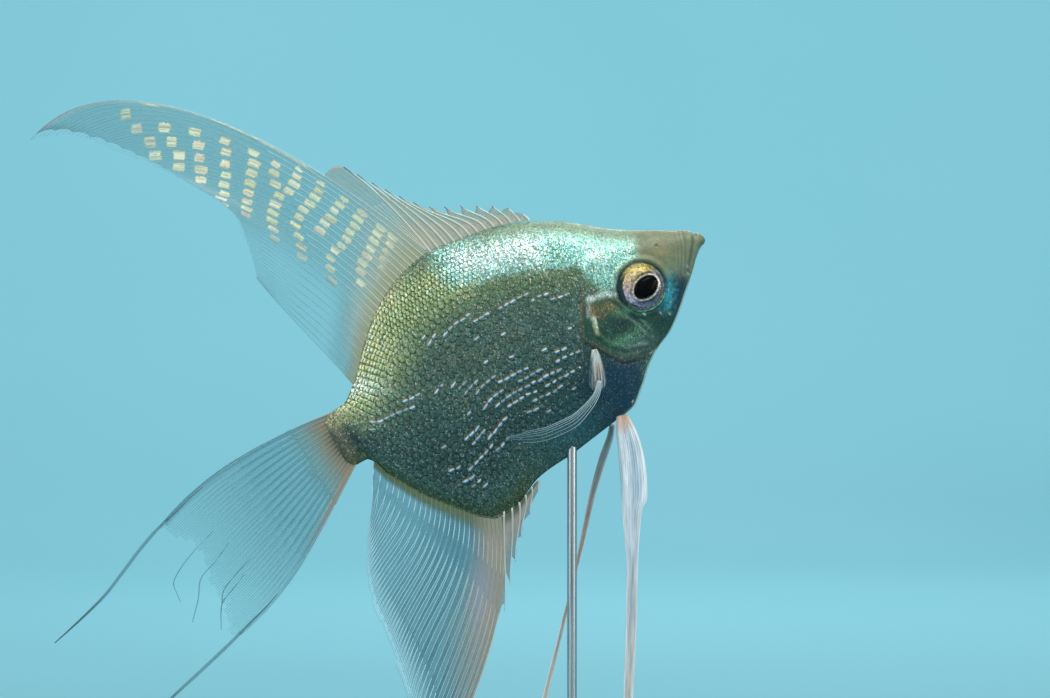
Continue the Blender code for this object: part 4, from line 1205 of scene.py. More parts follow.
def spotField(fin, middle, u, t, spots):
    # Every spot is a small rounded bar between two rays, where a band crosses the cell
    field, luck = np.full(u.shape, 9.0), np.zeros(u.shape)
    half, corner, step = 0.5 / spots["cells"], spots["corner"], 0.01

    def at(u, t):
        return fin["spot"](fin, u, t)

    for band in spots["bands"]:
        line = route(band)(np.linspace(0, 1, 80))
        near = np.hypot(middle[..., 0, None] - line[:, 0], middle[..., 2, None] - line[:, 1])
        best = near.reshape(-1, len(line)).argmin(0)
        cellOf, shareOf = np.floor(u.ravel()[best] * spots["cells"]), t.ravel()[best]
        for cell in np.unique(cellOf):
            mine = cellOf == cell
            shift, size, chance = draw.uniform(-0.18, 0.18), draw.uniform(0.86, 1.1), draw.random()
            if mine.sum() < 3:
                continue
            cellU, cellT = (cell + 0.5) / spots["cells"], shareOf[mine].mean()
            ahead = unit(at(cellU, cellT + step) - at(cellU, cellT - step))
            across = at(cellU + half, cellT) - at(cellU - half, cellT)
            width = np.linalg.norm(across - ahead * (across @ ahead))
            away = middle - at(cellU, cellT) - ahead * shift
            along = np.abs(away @ ahead)
            aside = np.sqrt(np.maximum((away**2).sum(-1) - along**2, 0))
            pastLong = np.maximum(along - spots["half"] * size + corner, 0)
            pastWide = np.maximum(aside - width * spots["share"] + corner, 0)
            gap = np.hypot(pastLong, pastWide) - corner
            luck = np.where(gap < field, chance, luck)
            field = np.minimum(field, gap)
    return field, luck


def buildFin(name, fin, nodes=(), spots=None):
    points, faces, u, t, middle = sheet(fin)
    tint, veil = finColours(u, t, fin["paints"])
    shown = {"tint": tint, "veil": veil, "line": np.stack([u, t, middle[..., 2]], -1)}
    if spots:
        shown["spot"], shown["luck"] = spotField(fin, middle, u, t, spots)
        shown["spotted"] = together(spots["strength"], u, t)
    if fin.get("solid"):
        material = limbMaterial(f"{name} finish", fin["rays"])
    else:
        material = membraneMaterial(f"{name} membrane", fin["rays"], spots and spots["glow"])
    # both faces of the sheet look alike
    values = {"place": points, **{label: np.concatenate([data, data]) for label, data in shown.items()}}
    piece = addPiece(f"{name}_membrane", points, faces, material, values)
    if nodes:
        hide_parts(*nodes)
    if "rayThick" in fin:
        points, faces, values = rayTubes(fin)
        addPiece(f"{name}_rays", points, faces, rayMaterial(f"{name} rays"), values)
    print(name)


def stairs(count, drop):
    # Membrane edge that falls behind each spine
    return lambda u: 1 - drop * np.mod(u * count + 1e-6, 1) ** 0.8 * (u < 1 - 1e-6)


def stairShares(count, steps):
    # Lines across such a membrane, with one just before each step of its edge
    even = (np.arange(count)[:, None] + np.linspace(0, 1, steps)[:-1]).ravel()
    return np.unique(np.concatenate([even, np.arange(1, count) - 0.02, [count]])) / count


def ridged(ridges, thin, power, depth):
    # Thickness across a fleshy fin, less to its edges, with lengthwise ridges
    return lambda u: (1 - thin * np.abs(2 * u - 1) ** power) * (1 + depth * np.cos(2 * math.pi * ridges * u))


# what fins on the body's outline share, and what narrow ones along a path share
fan = {"spot": fanSpot, "splits": (), "wave": 0.0, "waves": 0.0}
ribbon = {
    "spot": stripSpot, "facing": np.array([0.0, 1.0, 0.0]), "splits": (), "root": 0.0,
    "edge": lambda u: 1 + 0 * u,
}


dorsalTips = route([
    (-97.5, 75.4), (-94.4, 74.4), (-88.9, 70.0), (-82.1, 61.6), (-76.2, 52.3), (-73.9, 48.3), (-72.7, 44.0),
    (-73.4, 39.6), (-75.1, 34.1),
])


def dorsalPlace(u, t):
    # Where the sail's u and t lie, seen from the side
    x, _, z = np.moveaxis(fanSpot(dorsal, u, t), -1, 0)
    return x, z


dorsal = {
    **fan,
    "base": lambda u: offOutline(backAt, -45.6 - 23.4 * u, 0.35),
    "tip": lambda u: dorsalTips(1 - (1 - np.clip(u, 0, 1)) ** 1.6),
    "start": lambda u: 111 - 9 * u, "end": lambda u: 98 + 100 * (1 - np.clip(u, 0, 1)) ** 1.5,
    "pull": 0.4, "pullEnd": 0.3, "sway": lambda u: -2.0 + 0 * u, "wave": 0.35, "waves": 1.6,
    "root": -0.05, "thick": 0.14, "rays": 24, "cell": 1 / 24, "across": 273, "along": 140,
    "edge": lambda u: 1 - 0.012 * np.abs(np.sin(math.pi * 24 * u)) ** 0.6 - 0.05 * ease(0.72, 0.95, u),
    "splits": (0.42, 0.72), "raySteps": (22, 14, 12), "rayThick": (0.13, 0.035), "overhang": 0.014,
    "slim": lambda u: 1 - 0.5 * ease(0.5, 0.8, u),
    "paints": [
        ((104, 160, 168), 0.32),
        ((98, 156, 166), 0.1, acrossFin(0.5, 0.75), alongRay(0.1, 0.3)),
        ((190, 192, 176), 0.6, alongRay(0.24, 0.03, 0.85), acrossFin(1.0, 0.7)),
        ((172, 168, 130), 0.8, alongRay(0.09, 0.0, 0.75)),
        ((186, 186, 190), 0.5, acrossFin(0.03, 0.0, 0.7)),
        (
            (244, 244, 206), 0.9, alongRay(0.26, 0.3), alongRay(0.54, 0.5),
            lambda u, t: hump(u - 0.02, 0.011) * (0.55 + 0.6 * ripple(*dorsalPlace(u, t), 0.5)),
        ),
        ((232, 232, 190), 0.8, lambda u, t: hump(u - 0.035, 0.012) * hump(t - 0.69, 0.022)),
        ((130, 104, 92), 0.8, acrossFin(0.004, 0.0), alongRay(0.5, 0.6)),
        ((86, 106, 112), 0.4, alongRay(0.95, 1.0), acrossFin(0.16, 0.0)),
    ],
    "rayTint": fading(
        (178, 204, 198),
        ((112, 160, 168), lambda u, t: 0.7 * ease(0.7, 1.0, t) + ease(0.5, 0.8, u) * ease(0.1, 0.4, t)),
        ((222, 214, 164), alongRay(0.16, 0.04, 0.8)),
    ),
}
dorsalSpots = {
    "bands": [
        [(-50.2, 30.6), (-54.4, 27.6), (-57.4, 25.6), (-59.2, 22.7)],
        [(-52.2, 34.2), (-55.1, 32.5), (-58.1, 31.1), (-61.0, 30.1), (-62.3, 28.5), (-63.5, 25.2)],
        [(-53.6, 38.4), (-56.8, 36.8), (-60.9, 35.1)],
        [(-56.2, 42.4), (-59.0, 40.8), (-63.0, 39.0), (-64.4, 37.9), (-64.6, 35.7), (-66.0, 32.3)],
        [
            (-58.4, 46.4), (-61.2, 44.5), (-63.7, 44.2), (-65.7, 43.2), (-67.3, 41.4), (-68.4, 39.0),
            (-69.1, 36.5),
        ],
        [(-61.4, 49.4), (-63.7, 47.9)],
        [(-64.0, 53.4), (-67.2, 49.5), (-69.7, 46.1), (-71.3, 44.2)],
        [(-67.5, 57.6), (-70.1, 54.0), (-71.0, 52.0), (-74.2, 47.7)],
        [(-71.7, 63.3), (-72.1, 60.3), (-72.9, 58.5), (-74.5, 54.8), (-75.8, 53.2)],
        [(-76.0, 60.4), (-77.1, 58.3), (-78.6, 57.5)],
        [(-75.6, 65.6), (-77.2, 62.8)],
        [(-79.0, 63.6), (-81.2, 61.6)],
        [(-80.3, 69.3), (-82.3, 67.5)],
        [(-49.0, 28.0), (-51.4, 26.0), (-54.5, 22.8), (-57.4, 18.6)],
    ],
    "half": 1.12, "share": 0.39, "corner": 0.36, "cells": 17,
    "strength": (
        acrossFin(0.8, 0.45), alongRay(0.03, 0.08),
        lambda u, t: 1 - 0.35 * ease(-76, -82, dorsalPlace(u, t)[0]),
    ),
    "glow": [
        (0.0, paint(212, 222, 186)), (0.3, paint(244, 250, 212)), (0.65, paint(252, 253, 226)),
        (0.85, paint(250, 238, 208)), (1.0, paint(244, 206, 186)),
    ],
}
buildFin("dorsal_sail", dorsal, ["dorsal_fin_sail"], dorsalSpots)

dorsalSpineTips = route([
    (-26.9, 19.9), (-29.1, 22.5), (-32.0, 24.3), (-35.6, 26.3), (-39.8, 28.3), (-42.3, 30.2), (-44.6, 33.0),
    (-48.0, 37.9), (-51.1, 42.9),
])
dorsalFront = {
    **fan,
    "base": lambda u: offOutline(backAt, -26.4 - 18.6 * u, 0.1), "tip": dorsalSpineTips,
    "start": lambda u: 92 + 8 * u, "end": lambda u: 110 + 6 * u,
    "pull": 0.33, "sway": lambda u: 0.3 * u,
    "root": -0.06, "thick": 0.16, "rays": 12, "across": stairShares(12, 10), "along": 26,
    "edge": stairs(12, 0.42), "raySteps": (20,), "rayThick": (0.28, 0.09), "overhang": 0.02,
    "paints": [
        ((168, 176, 162), 0.5),
        ((196, 184, 164), 0.7, alongRay(0.5, 0.1)),
        ((128, 168, 168), 0.36, alongRay(0.6, 0.95), acrossFin(0.4, 0.9)),
        ((226, 230, 214), 0.75, alongRay(0.1, 0.5, 0.7), lambda u, t: ease(0.3, 0.0, np.mod(u * 12, 1))),
        ((120, 128, 108), 0.6, lambda u, t: 0.7 * hump(t - dorsalFront["edge"](u), 0.05)),
    ],
    "rayTint": fading((206, 210, 190), ((62, 66, 58), alongRay(0.84, 1.0))),
}


buildFin("dorsal_spines", dorsalFront, ["dorsal_fin_spines"])


def webbed(first, last, reach):
    # Membrane between the last spine of one fan and the first ray of the next
    return lambda fin, u, t: (
        fanSpot(first, np.ones_like(u * t), t + 0 * u) * (1 - u)[..., None]
        + fanSpot(last, np.zeros_like(u * t), t * reach + 0 * u) * u[..., None]
    )


dorsalWeb = {
    "spot": webbed(dorsalFront, dorsal, 0.25), "root": -0.02, "thick": 0.14, "rays": 4, "along": 40,
    "across": 25, "edge": lambda u: 1 + 0.05 * np.sin(math.pi * np.sqrt(u)),
    "splits": (0.55,), "raySteps": (16, 12), "rayThick": (0.13, 0.04), "overhang": 0.0, "cell": 0.22,
    "paints": [
        ((150, 176, 172), 0.42),
        ((200, 188, 166), 0.74, alongRay(0.42, 0.08)),
        ((176, 168, 140), 0.6, alongRay(1.0, 1.04)),
    ],
    "rayTint": fading((206, 204, 184), ((150, 150, 128), alongRay(0.5, 1.0))),
}
buildFin("dorsal_web", dorsalWeb)

analTips = route([
    (-101.5, -74.3), (-96.4, -67.6), (-91.6, -59.6), (-88.6, -52.6), (-87.4, -46.0), (-86.8, -39.0),
    (-86.2, -31.6), (-84.2, -24.8), (-81.8, -20.2), (-79.7, -16.9),
])
analShares = through([(0.0, 0.0), (0.33, 0.5), (0.45, 0.6), (0.59, 0.71), (0.85, 0.91), (1.0, 1.0)])
anal = {
    **fan,
    "base": lambda u: offOutline(bellyAt, -57.2 - 15.3 * u, -0.35),
    "tip": lambda u: analTips(analShares(np.clip(u, 0, 1))),
    "start": lambda u: 249 - 11 * u - 5 * u**2,
    "end": lambda u: 228 - 13 * ease(0.42, 0.65, u) + 8 * ease(0.85, 1.0, u),
    "pull": 0.36, "sway": lambda u: 2.0 + 0 * u, "wave": 0.3, "waves": 1.4,
    "root": -0.06, "thick": 0.14, "rays": 26, "cell": 1 / 26, "across": 235, "along": 60,
    "edge": lambda u: 1 - 0.02 * np.abs(np.sin(math.pi * 26 * u)) ** 0.6 - 0.05 * ease(0.3, 0.6, u),
    "splits": (0.17, 0.8), "raySteps": (12, 20, 10), "rayThick": (0.1, 0.08), "overhang": 0.03,
    "paints": [
        ((44, 100, 118), 0.48),
        ((44, 100, 118), 0.3, acrossFin(0.4, 0.8)),
        ((112, 172, 184), 0.56, alongRay(0.1, 0.22, 0.7), lambda u, t: np.cos(math.pi * 26 * u) ** 4),
        ((60, 118, 132), 0.12, alongRay(0.78, 1.0), acrossFin(0.1, 0.3)),
        ((104, 118, 82), 0.85, alongRay(0.075, 0.0)),
        ((172, 150, 128), 0.62, acrossFin(0.34, 0.1, 0.95), alongRay(0.8, 0.2)),
        ((166, 150, 178), 0.5, lambda u, t: 0.5 * blob(u, t, (0.16, 0.3), (0.08, 0.14))),
    ],
    "rayTint": fading(
        (214, 192, 166), ((206, 240, 248), lambda u, t: ease(0.12, 0.4, u) + ease(0.5, 0.9, t)),
        ((128, 138, 98), alongRay(0.09, 0.02)),
    ),
}
buildFin("anal_sail", anal, ["anal_fin_sail"])

analSpineTips = route([
    (-48.8, -25.9), (-50.7, -27.6), (-52.9, -29.5), (-55.9, -32.0), (-59.4, -35.8), (-64.6, -41.6),
])
analFront = {
    **fan,
    "base": lambda u: offOutline(bellyAt, -48.0 - 8.6 * u, -0.1), "tip": analSpineTips,
    "start": lambda u: 262 - 21 * u, "end": lambda u: 256 - 20 * u,
    "pull": 0.3, "sway": lambda u: 0.2 * u,
    "root": -0.06, "thick": 0.18, "rays": 5, "across": stairShares(5, 12), "along": 26,
    "edge": stairs(5, 0.4), "raySteps": (18,), "rayThick": (0.27, 0.06), "overhang": 0.04,
    "paints": [
        ((120, 140, 140), 0.5),
        ((170, 158, 150), 0.75, alongRay(0.7, 0.2)),
        ((92, 100, 76), 0.9, alongRay(0.16, 0.02)),
    ],
    "rayTint": fading((190, 190, 180), ((206, 222, 228), alongRay(0.3, 0.8))),
}
buildFin("anal_spines", analFront, ["anal_fin_spines"])
analWeb = {
    "spot": webbed(analFront, anal, 0.3), "root": -0.02, "thick": 0.16, "rays": 2, "along": 30,
    "across": 13, "edge": lambda u: 1 - 0.12 * u * (1 - u) * 4,
    "paints": [
        ((140, 148, 146), 0.5),
        ((172, 150, 130), 0.75, alongRay(0.85, 0.3)),
        ((92, 100, 76), 0.9, alongRay(0.16, 0.02)),
    ],
}
buildFin("anal_web", analWeb)

tailTips = route([
    (-112.6, 2.1), (-112.2, -0.6), (-110.6, -4.9), (-110.9, -9.6), (-111.5, -14.4), (-111.1, -18.4),
    (-110.8, -22.8),
])
tail = {
    **fan,
    "base": lambda u: np.stack([-75.95 + 0 * u, 5.0 - 10.6 * u], -1),
    "tip": lambda u: tailTips(np.clip(u, 0, 1)),
    "start": lambda u: 172 + 42 * u, "end": lambda u: 202 - 14 * u,
    "pull": 0.34, "sway": lambda u: 1.6 + 0 * u, "wave": 0.35, "waves": 1.2,
    "root": -0.05, "thick": 0.12, "rays": 16, "cell": 1 / 16, "across": 209, "along": 56,
    "edge": lambda u: (
        1 - 0.06 * ease(0.04, 0.3, u) * ease(0.96, 0.7, u) - 0.02 * np.abs(np.sin(math.pi * 32 * u)) ** 0.6
        - 0.02 * ripple(u * 60, u * 31, 1.0)
    ),
    "splits": (0.2, 0.5), "raySteps": (12, 16, 16), "rayThick": (0.13, 0.04), "overhang": 0.012,
    "paints": [
        ((84, 148, 160), 0.3),
        ((96, 160, 172), 0.05, alongRay(0.45, 0.97)),
        (
            (48, 128, 152), 0.46, alongRay(0.1, 0.22), alongRay(0.66, 0.4),
            lambda u, t: np.sin(math.pi * 16 * u) ** 4,
        ),
        ((128, 146, 132), 0.6, alongRay(0.3, 0.1, 0.8)),
        ((160, 138, 112), 0.85, alongRay(0.16, 0.02)),
        ((168, 142, 120), 0.66, acrossFin(0.86, 1.0), alongRay(0.6, 0.15)),
        ((84, 140, 152), 0.5, acrossFin(0.06, 0.0)),
        ((60, 66, 54), 0.8, lambda u, t: 0.7 * blob(u, t, (0.5, 0.03), (0.3, 0.04))),
    ],
    "rayTint": fading(
        (166, 150, 124), ((146, 194, 200), alongRay(0.05, 0.26)), ((98, 152, 162), alongRay(0.4, 0.9, 0.8)),
    ),
}
buildFin("tail_fan", tail, ["tail_fin"])


# Long threads: tail streamers, curled ray ends and pelvic fins


streamers = {
    "upper": {
        "edge": 0.02,
        "line": [
            (-113.6, 1.7), (-118.0, 0.1), (-123.0, -2.1), (-128.0, -4.2), (-134.0, -5.9), (-140.4, -7.4),
        ],
    },
    "lower": {
        "edge": 0.98,
        "line": [(-112.2, -23.1), (-118.0, -24.6), (-125.0, -26.3), (-131.0, -27.9), (-137.0, -29.6)],
    },
    "sway": (1.6, 3.4),
    "width": [(0.0, 0.04), (0.25, 0.2), (0.4, 0.26), (0.6, 0.24), (0.8, 0.17), (1.0, 0.05)],
}


def streamer(word):
    # Runs on from the edge ray of the tail
    line, edge = streamers[word]["line"], streamers[word]["edge"]
    starts = [fanSpot(tail, edge, t) for t in (0.7, 0.8, 0.9)]
    ends = [(x, y, z) for (x, z), y in zip(line, np.linspace(*streamers["sway"], len(line)))]
    width = through(streamers["width"])
    made = {
        **ribbon, "path": route(starts + ends), "bow": 0.1, "front": width, "rear": width, "thick": 0.2,
        "rays": 2, "along": 80, "across": 9,
        "raySteps": (60,), "rayThick": (0.07, 0.045), "overhang": 0.0,
        "paints": [((96, 150, 160), 0.3), ((78, 118, 126), 0.7, alongRay(0.6, 0.9))],
        "rayTint": fading((112, 160, 168), ((78, 112, 118), alongRay(0.5, 0.9))),
    }
    buildFin(f"streamer_{word}", made, [f"tail_streamer_{word}"])


streamer("upper")
streamer("lower")

curls = {
    "lines": [
        [(-104.8, -3.6), (-108.7, -4.7), (-114.3, -7.2), (-115.9, -8.7), (-116.3, -12.0)],
        [(-103.2, -6.8), (-106.6, -8.4), (-110.8, -10.0), (-113.1, -13.0), (-116.2, -16.3)],
        [(-103.4, -13.2), (-106.7, -14.6), (-109.5, -15.8), (-112.3, -20.1)],
        [(-101.0, -11.2), (-105.2, -12.6), (-108.3, -14.0), (-110.5, -17.0)],
    ],
    "steps": 40, "sides": 8, "sway": (1.5, 0.9),
    "tint": fading((126, 178, 187), ((96, 146, 156), lambda u, t: t)),
}


def buildCurls():
    # Ends of some tail rays curl away past the edge of the membrane
    share, (near, far) = np.linspace(0, 1, curls["steps"]), curls["sway"]
    flat = np.stack([route(line)(share) for line in curls["lines"]])
    across = 0 * flat[..., 0]
    paths = np.stack([flat[..., 0], near + far * share**2 + across, flat[..., 1]], -1)
    points, faces = tubes(paths, 0.05 + 0.045 * np.sin(math.pi * share) + across, curls["sides"])
    line = np.stack([across, share + across, flat[..., 1]], -1)
    values = roundTube({"tint": curls["tint"](across, share), "line": line}, curls["sides"])
    addPiece("tail_curls", points, faces, rayMaterial("curled rays"), values)
    print("tail_curls")


buildCurls()

pelvics = {
    "right": {
        "side": -1, "spread": 4.6, "thick": 1.0,
        "line": [
            (-28.7, -21.4), (-29.2, -22.8), (-30.2, -26.4), (-32.6, -32.0), (-36.8, -39.4), (-41.4, -47.6),
            (-47.0, -57.2), (-53.0, -67.0), (-60.5, -80.6), (-68.3, -94.6),
        ],
        "front": [
            (0.0, 1.0), (0.05, 1.9), (0.11, 2.4), (0.18, 2.6), (0.19, 2.5), (0.205, 1.8), (0.25, 1.4),
            (0.32, 1.05), (0.45, 1.0), (0.62, 0.85), (0.85, 0.5), (1.0, 0.2),
        ],
        "rear": [
            (0.0, 1.2), (0.05, 2.0), (0.11, 2.3), (0.18, 2.15), (0.25, 1.6), (0.32, 1.1), (0.45, 1.0),
            (0.62, 0.85), (1.0, 0.2),
        ],
        "paints": [
            ((232, 240, 246), 1.0),
            ((232, 202, 184), 1.0, alongRay(0.05, 0.01, 0.9)),
            (
                (164, 200, 220), 1.0, alongRay(0.02, 0.08, 0.6), alongRay(0.3, 0.16),
                lambda u, t: hump(u - 0.62, 0.13),
            ),
            ((120, 156, 176), 1.0, acrossFin(0.16, 0.02, 0.7), alongRay(0.24, 0.16)),
            ((246, 240, 232), 1.0, alongRay(0.3, 0.6, 0.6)),
        ],
    },
    "left": {
        "side": 1, "spread": 5.6, "thick": 0.7,
        "line": [
            (-31.2, -22.0), (-32.2, -23.4), (-35.8, -26.8), (-40.3, -31.3), (-46.0, -37.8), (-53.0, -45.6),
            (-61.0, -54.3), (-69.5, -63.4), (-78.0, -72.2), (-86.0, -80.2),
        ],
        "front": [(0.0, 0.5), (0.08, 0.7), (0.2, 0.55), (0.4, 0.36), (0.7, 0.44), (0.9, 0.3), (1.0, 0.18)],
        "rear": [(0.0, 0.5), (0.08, 0.7), (0.2, 0.5), (0.4, 0.34), (0.7, 0.44), (0.9, 0.3), (1.0, 0.18)],
        "paints": [
            ((250, 248, 242), 1.0),
            ((200, 214, 218), 1.0, alongRay(0.34, 0.12, 0.8)),
            ((222, 200, 194), 1.0, lambda u, t: 0.6 * hump(t - 0.25, 0.12)),
        ],
    },
    "root": 1.3, "ridges": 11,
}


def pelvic(word):
    # Long fleshy thread that swings out from the belly
    own, root, ridges = pelvics[word], pelvics["root"], pelvics["ridges"]
    swing = np.sin(math.pi / 2 * np.minimum(1, 1.8 * np.linspace(0, 1, len(own["line"]))))
    corners = [
        (x, own["side"] * (root + (own["spread"] - root) * out), z)
        for (x, z), out in zip(own["line"], swing)
    ]
    made = {
        **ribbon, **own, "path": route(corners), "bow": 0.12, "rays": ridges, "solid": True,
        "front": through(own["front"]), "rear": through(own["rear"]),
        "section": ridged(ridges, 0.8, 2.5, 0.3), "along": 190, "across": 111,
    }
    buildFin(f"pelvic_{word}", made, [f"pelvic_fin_{word}"])


pelvic("right")
pelvic("left")


# Pectoral fins: a fleshy lobe on the shoulder, and a folded blade of clear rays behind it


pectorals = {
    "tilt": 35.0,
    "lobe": [
        (-27.4, -8.2, 0.35), (-27.9, -9.8, 0.8), (-28.7, -11.8, 1.1), (-29.6, -13.8, 1.35),
        (-30.6, -15.6, 1.6),
    ],
    "blade": [
        (-29.4, -13.6, 1.3), (-31.0, -15.4, 1.75), (-33.6, -16.7, 2.2), (-37.4, -17.6, 2.8),
        (-41.6, -17.3, 3.2), (-45.6, -16.1, 3.6), (-49.2, -14.4, 3.9),
    ],
}
lobe = {
    "front": through([(0.0, 0.5), (0.35, 1.3), (0.75, 1.7), (1.0, 1.3)]),
    "rear": through([(0.0, 0.6), (0.35, 1.7), (0.75, 2.2), (1.0, 1.9)]),
    "section": ridged(9, 0.85, 2, 0.4), "thick": 0.6, "rays": 9, "along": 50, "across": 91,
    "edge": lambda u: 1 - 0.2 * np.abs(2 * u - 1) ** 2 - 0.05 * np.abs(np.sin(9 * math.pi * u)) ** 0.7,
    "paints": [
        ((210, 184, 164), 1.0),
        ((238, 242, 236), 1.0, alongRay(0.45, 0.15, 0.95)),
        ((224, 236, 238), 1.0, lambda u, t: 0.7 * hump(u - 0.72, 0.07) + 0.6 * hump(u - 0.34, 0.06)),
        ((196, 144, 120), 1.0, lambda u, t: 0.8 * blob(u, t, (0.52, 0.82), (0.3, 0.16))),
        ((130, 150, 156), 0.2, alongRay(0.25, 0.8), lambda u, t: 0.5 + 0.5 * np.cos(2 * math.pi * 6.5 * u)),
        ((150, 176, 184), 0.12, alongRay(0.0, 0.3), lambda u, t: ease(0.42, 0.74, np.abs(2 * u - 1.1))),
        ((150, 176, 184), 0.0, lambda u, t: ease(0.7, 1.0, np.abs(2 * u - 1)) + ease(0.8, 1.0, t)),
    ],
}
blade = {
    "front": through([(0.0, 0.3), (0.2, 0.9), (0.5, 1.6), (0.75, 1.5), (0.92, 0.8), (1.0, 0.2)]),
    "rear": through([(0.0, 0.3), (0.2, 0.7), (0.5, 1.2), (0.75, 1.2), (0.92, 0.7), (1.0, 0.2)]),
    "thick": 0.1, "rays": 5, "along": 70, "across": 65,
    "edge": lambda u: 1 - 0.16 * np.abs(2 * u - 1) ** 2,
    "raySteps": (60,), "rayThick": (0.08, 0.045), "overhang": 0.02,
    "paints": [
        ((150, 190, 200), 0.03), ((200, 216, 216), 0.2, alongRay(0.2, 0.0)),
        ((214, 222, 214), 0.5, alongRay(0.95, 1.0)),
    ],
    "rayTint": fading((196, 212, 214), ((118, 152, 166), alongRay(0.1, 0.9))),
}


def offFlank(x, z, lift):
    # How far from the middle plane a place lies that stands clear of the flank by lift
    top, bottom = backAt(x), bellyAt(x)
    share = (z - (top + bottom) / 2) / ((top - bottom) / 2)
    return float(halfWidthAt(x) * np.maximum(0, 1 - share**2) ** (sharpnessAt(x) / 2)) + lift


def pectoral(side, word):
    tilt = math.radians(pectorals["tilt"])
    facing = np.array([0.0, math.cos(tilt), -side * math.sin(tilt)])

    def onFlank(line):
        return route([(x, side * offFlank(x, z, lift), z) for x, z, lift in line])

    root = {**ribbon, **lobe, "path": onFlank(pectorals["lobe"]), "facing": facing, "bow": -0.25 * side}
    buildFin(f"pectoral_{word}_root", root)
    leaf = {**ribbon, **blade, "path": onFlank(pectorals["blade"]), "facing": facing, "bow": -0.2 * side}
    buildFin(f"pectoral_{word}_blade", leaf, [f"pectoral_fin_{word}"])


for side, word in bothSides:
    pectoral(side, word)


# Display stand: the solid frame's own pieces in oiled walnut and brushed steel


wood = {
    "heart": (0.011, -0.021), "ring": 0.0015, "wander": (9.0, 45.0, 45.0), "amount": 0.008,
    "grain": (60.0, 1800.0, 1800.0),
    "tones": [(0.1, paint(58, 36, 22)), (0.5, paint(96, 62, 38)), (0.9, paint(134, 92, 60))],
}


def woodMaterial():
    material, tree, shader = newMaterial("oiled walnut", roughness=0.42, coatWeight=0.2, coatRoughness=0.25)
    place = node(tree, "ShaderNodeTexCoord").outputs["Object"]
    # growth rings round a heart that lies below the board, a little wavy
    spread = parts(tree, place)
    aside, above = (minus(tree, spread[i + 1], wood["heart"][i]) for i in (0, 1))
    squares = plus(tree, times(tree, aside, aside), times(tree, above, above))
    wander = times(tree, noise(tree, stretched(tree, place, wood["wander"]), 1.0, 2.0), wood["amount"])
    rings = plus(tree, calc(tree, "SQRT", squares), wander)
    rings = calc(tree, "SINE", times(tree, rings, 2 * math.pi / wood["ring"]))
    fine = noise(tree, stretched(tree, place, wood["grain"]), 1.0, 3.0, 0.6)
    mixed = plus(tree, between(tree, rings, -1.0, 1.0, 0.05, 0.36), times(tree, fine, 0.62))
    feed(tree, shader, baseColor=stops(tree, mixed, wood["tones"]), normal=raised(tree, fine, 0.3, 0.0001))
    return material


def steelMaterial():
    material, tree, shader = newMaterial("brushed steel", metallic=1.0)
    place = node(tree, "ShaderNodeTexCoord").outputs["Object"]
    brushed = noise(tree, stretched(tree, place, (3000.0, 3000.0, 60.0)), 1.0, 3.0, 0.6)
    tones = stops(tree, brushed, [(0.3, paint(168, 172, 174)), (0.7, paint(206, 210, 212))])
    feed(tree, shader, baseColor=tones, roughness=between(tree, brushed, 0.3, 0.7, 0.22, 0.4))
    return material


for nodeName, material in (("stand_base", woodMaterial()), ("stand_rod", steelMaterial())):
    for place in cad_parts[nodeName].material_slots:
        place.material = material
print("stand")


# Floor, light and camera


stage = {"back": 1.6, "front": -1.4, "half": 2.6, "sweep": 0.7, "top": 2.6, "steps": 24}


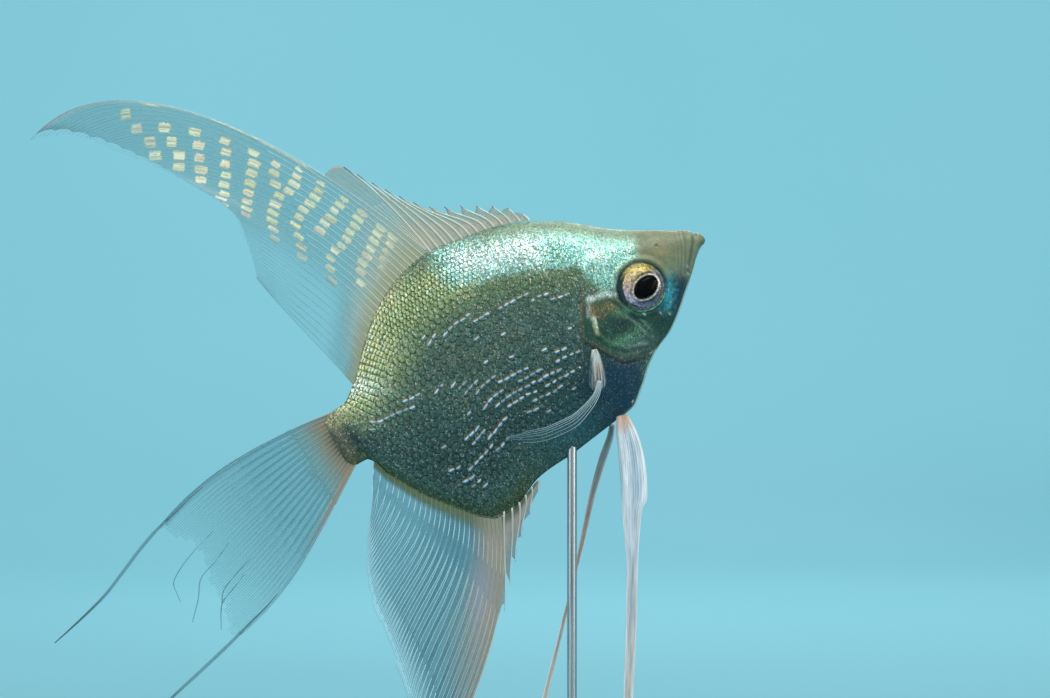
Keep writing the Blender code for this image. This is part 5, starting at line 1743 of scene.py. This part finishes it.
def buildStage():
    # Floor that sweeps up into the backdrop
    bend, profile = stage["sweep"], [(stage["front"], 0.0)]
    for k in range(stage["steps"] + 1):
        turn = math.pi / 2 * k / stage["steps"]
        profile.append((stage["back"] - bend + bend * math.sin(turn), bend * (1 - math.cos(turn))))
    profile.append((stage["back"], stage["top"]))
    points = [[side * stage["half"], y, z] for y, z in profile for side in (-1, 1)]
    mesh = bpy.data.meshes.new("studio_sweep")
    mesh.from_pydata(points, [], gridFaces(len(profile), 2)[:, ::-1].tolist())
    mesh.shade_smooth()
    material, tree, shader = newMaterial("pale paper", roughness=0.85, specularIorLevel=0.1)
    coordinates = node(tree, "ShaderNodeTexCoord").outputs["Object"]
    soft = noise(tree, coordinates, 1.4, 3.0)
    paper = stops(tree, soft, [(0.3, paint(136, 202, 216)), (0.7, paint(146, 208, 222))])
    # painted shade: the paper is darker towards the front of the floor and brightest up the backdrop
    depth = between(tree, parts(tree, coordinates)[1], -0.2, 1.5, 0.56, 1.0)
    feed(tree, shader, baseColor=shaded(tree, paper, depth))
    mesh.materials.append(material)
    sweep = bpy.data.objects.new("studio_sweep", mesh)
    bpy.context.scene.collection.objects.link(sweep)


aim = (-0.02, 0.0, 0.11)
# name, place, place it faces, size, power, colour
lamps = [
    ("key softbox", (0.05, -0.42, 0.95), aim, (0.6, 0.45), 6.4, (1.0, 0.99, 0.96)),
    ("left softbox", (-0.75, -0.5, 0.35), aim, (0.45, 0.6), 2.2, (0.95, 0.98, 1.0)),
    ("right softbox", (0.8, -0.45, 0.25), aim, (0.4, 0.5), 1.9, (1.0, 0.98, 0.95)),
    ("rear rim", (0.1, 0.7, 0.6), aim, (0.5, 0.3), 2.0, (0.95, 1.0, 1.0)),
    ("backdrop wash", (0.0, 0.5, 1.6), (0.0, 1.5, 0.3), (1.6, 0.6), 14.0, (1.0, 1.0, 1.0)),
]
sky = {"Color": (0.78, 0.88, 0.92, 1.0), "Strength": 0.4}
camera = {"place": (-0.0009, -0.5338, 0.1061), "lens": 100.0, "sensor": 36.0, "clip": (0.01, 20.0)}


def buildLight():
    for name, place, target, (width, height), power, colour in lamps:
        lamp = bpy.data.lights.new(name, "AREA")
        lamp.shape, lamp.size, lamp.size_y = "RECTANGLE", width, height
        lamp.energy, lamp.color = power, colour
        holder = bpy.data.objects.new(name, lamp)
        holder.location = place
        holder.rotation_euler = (Vector(target) - Vector(place)).to_track_quat("-Z", "Y").to_euler()
        bpy.context.scene.collection.objects.link(holder)
    world = bpy.data.worlds.new("studio")
    world.use_nodes = True
    for key, value in sky.items():
        world.node_tree.nodes["Background"].inputs[key].default_value = value
    bpy.context.scene.world = world


def buildCamera():
    made = bpy.data.cameras.new("camera")
    made.lens, made.sensor_width = camera["lens"], camera["sensor"]
    made.clip_start, made.clip_end = camera["clip"]
    holder = bpy.data.objects.new("camera", made)
    holder.location = camera["place"]
    holder.rotation_euler = (math.pi / 2, 0.0, 0.0)
    bpy.context.scene.collection.objects.link(holder)
    bpy.context.scene.camera = holder


buildStage()
buildLight()
buildCamera()
bpy.context.scene.view_settings.view_transform = "Standard"
print("stage, light and camera")
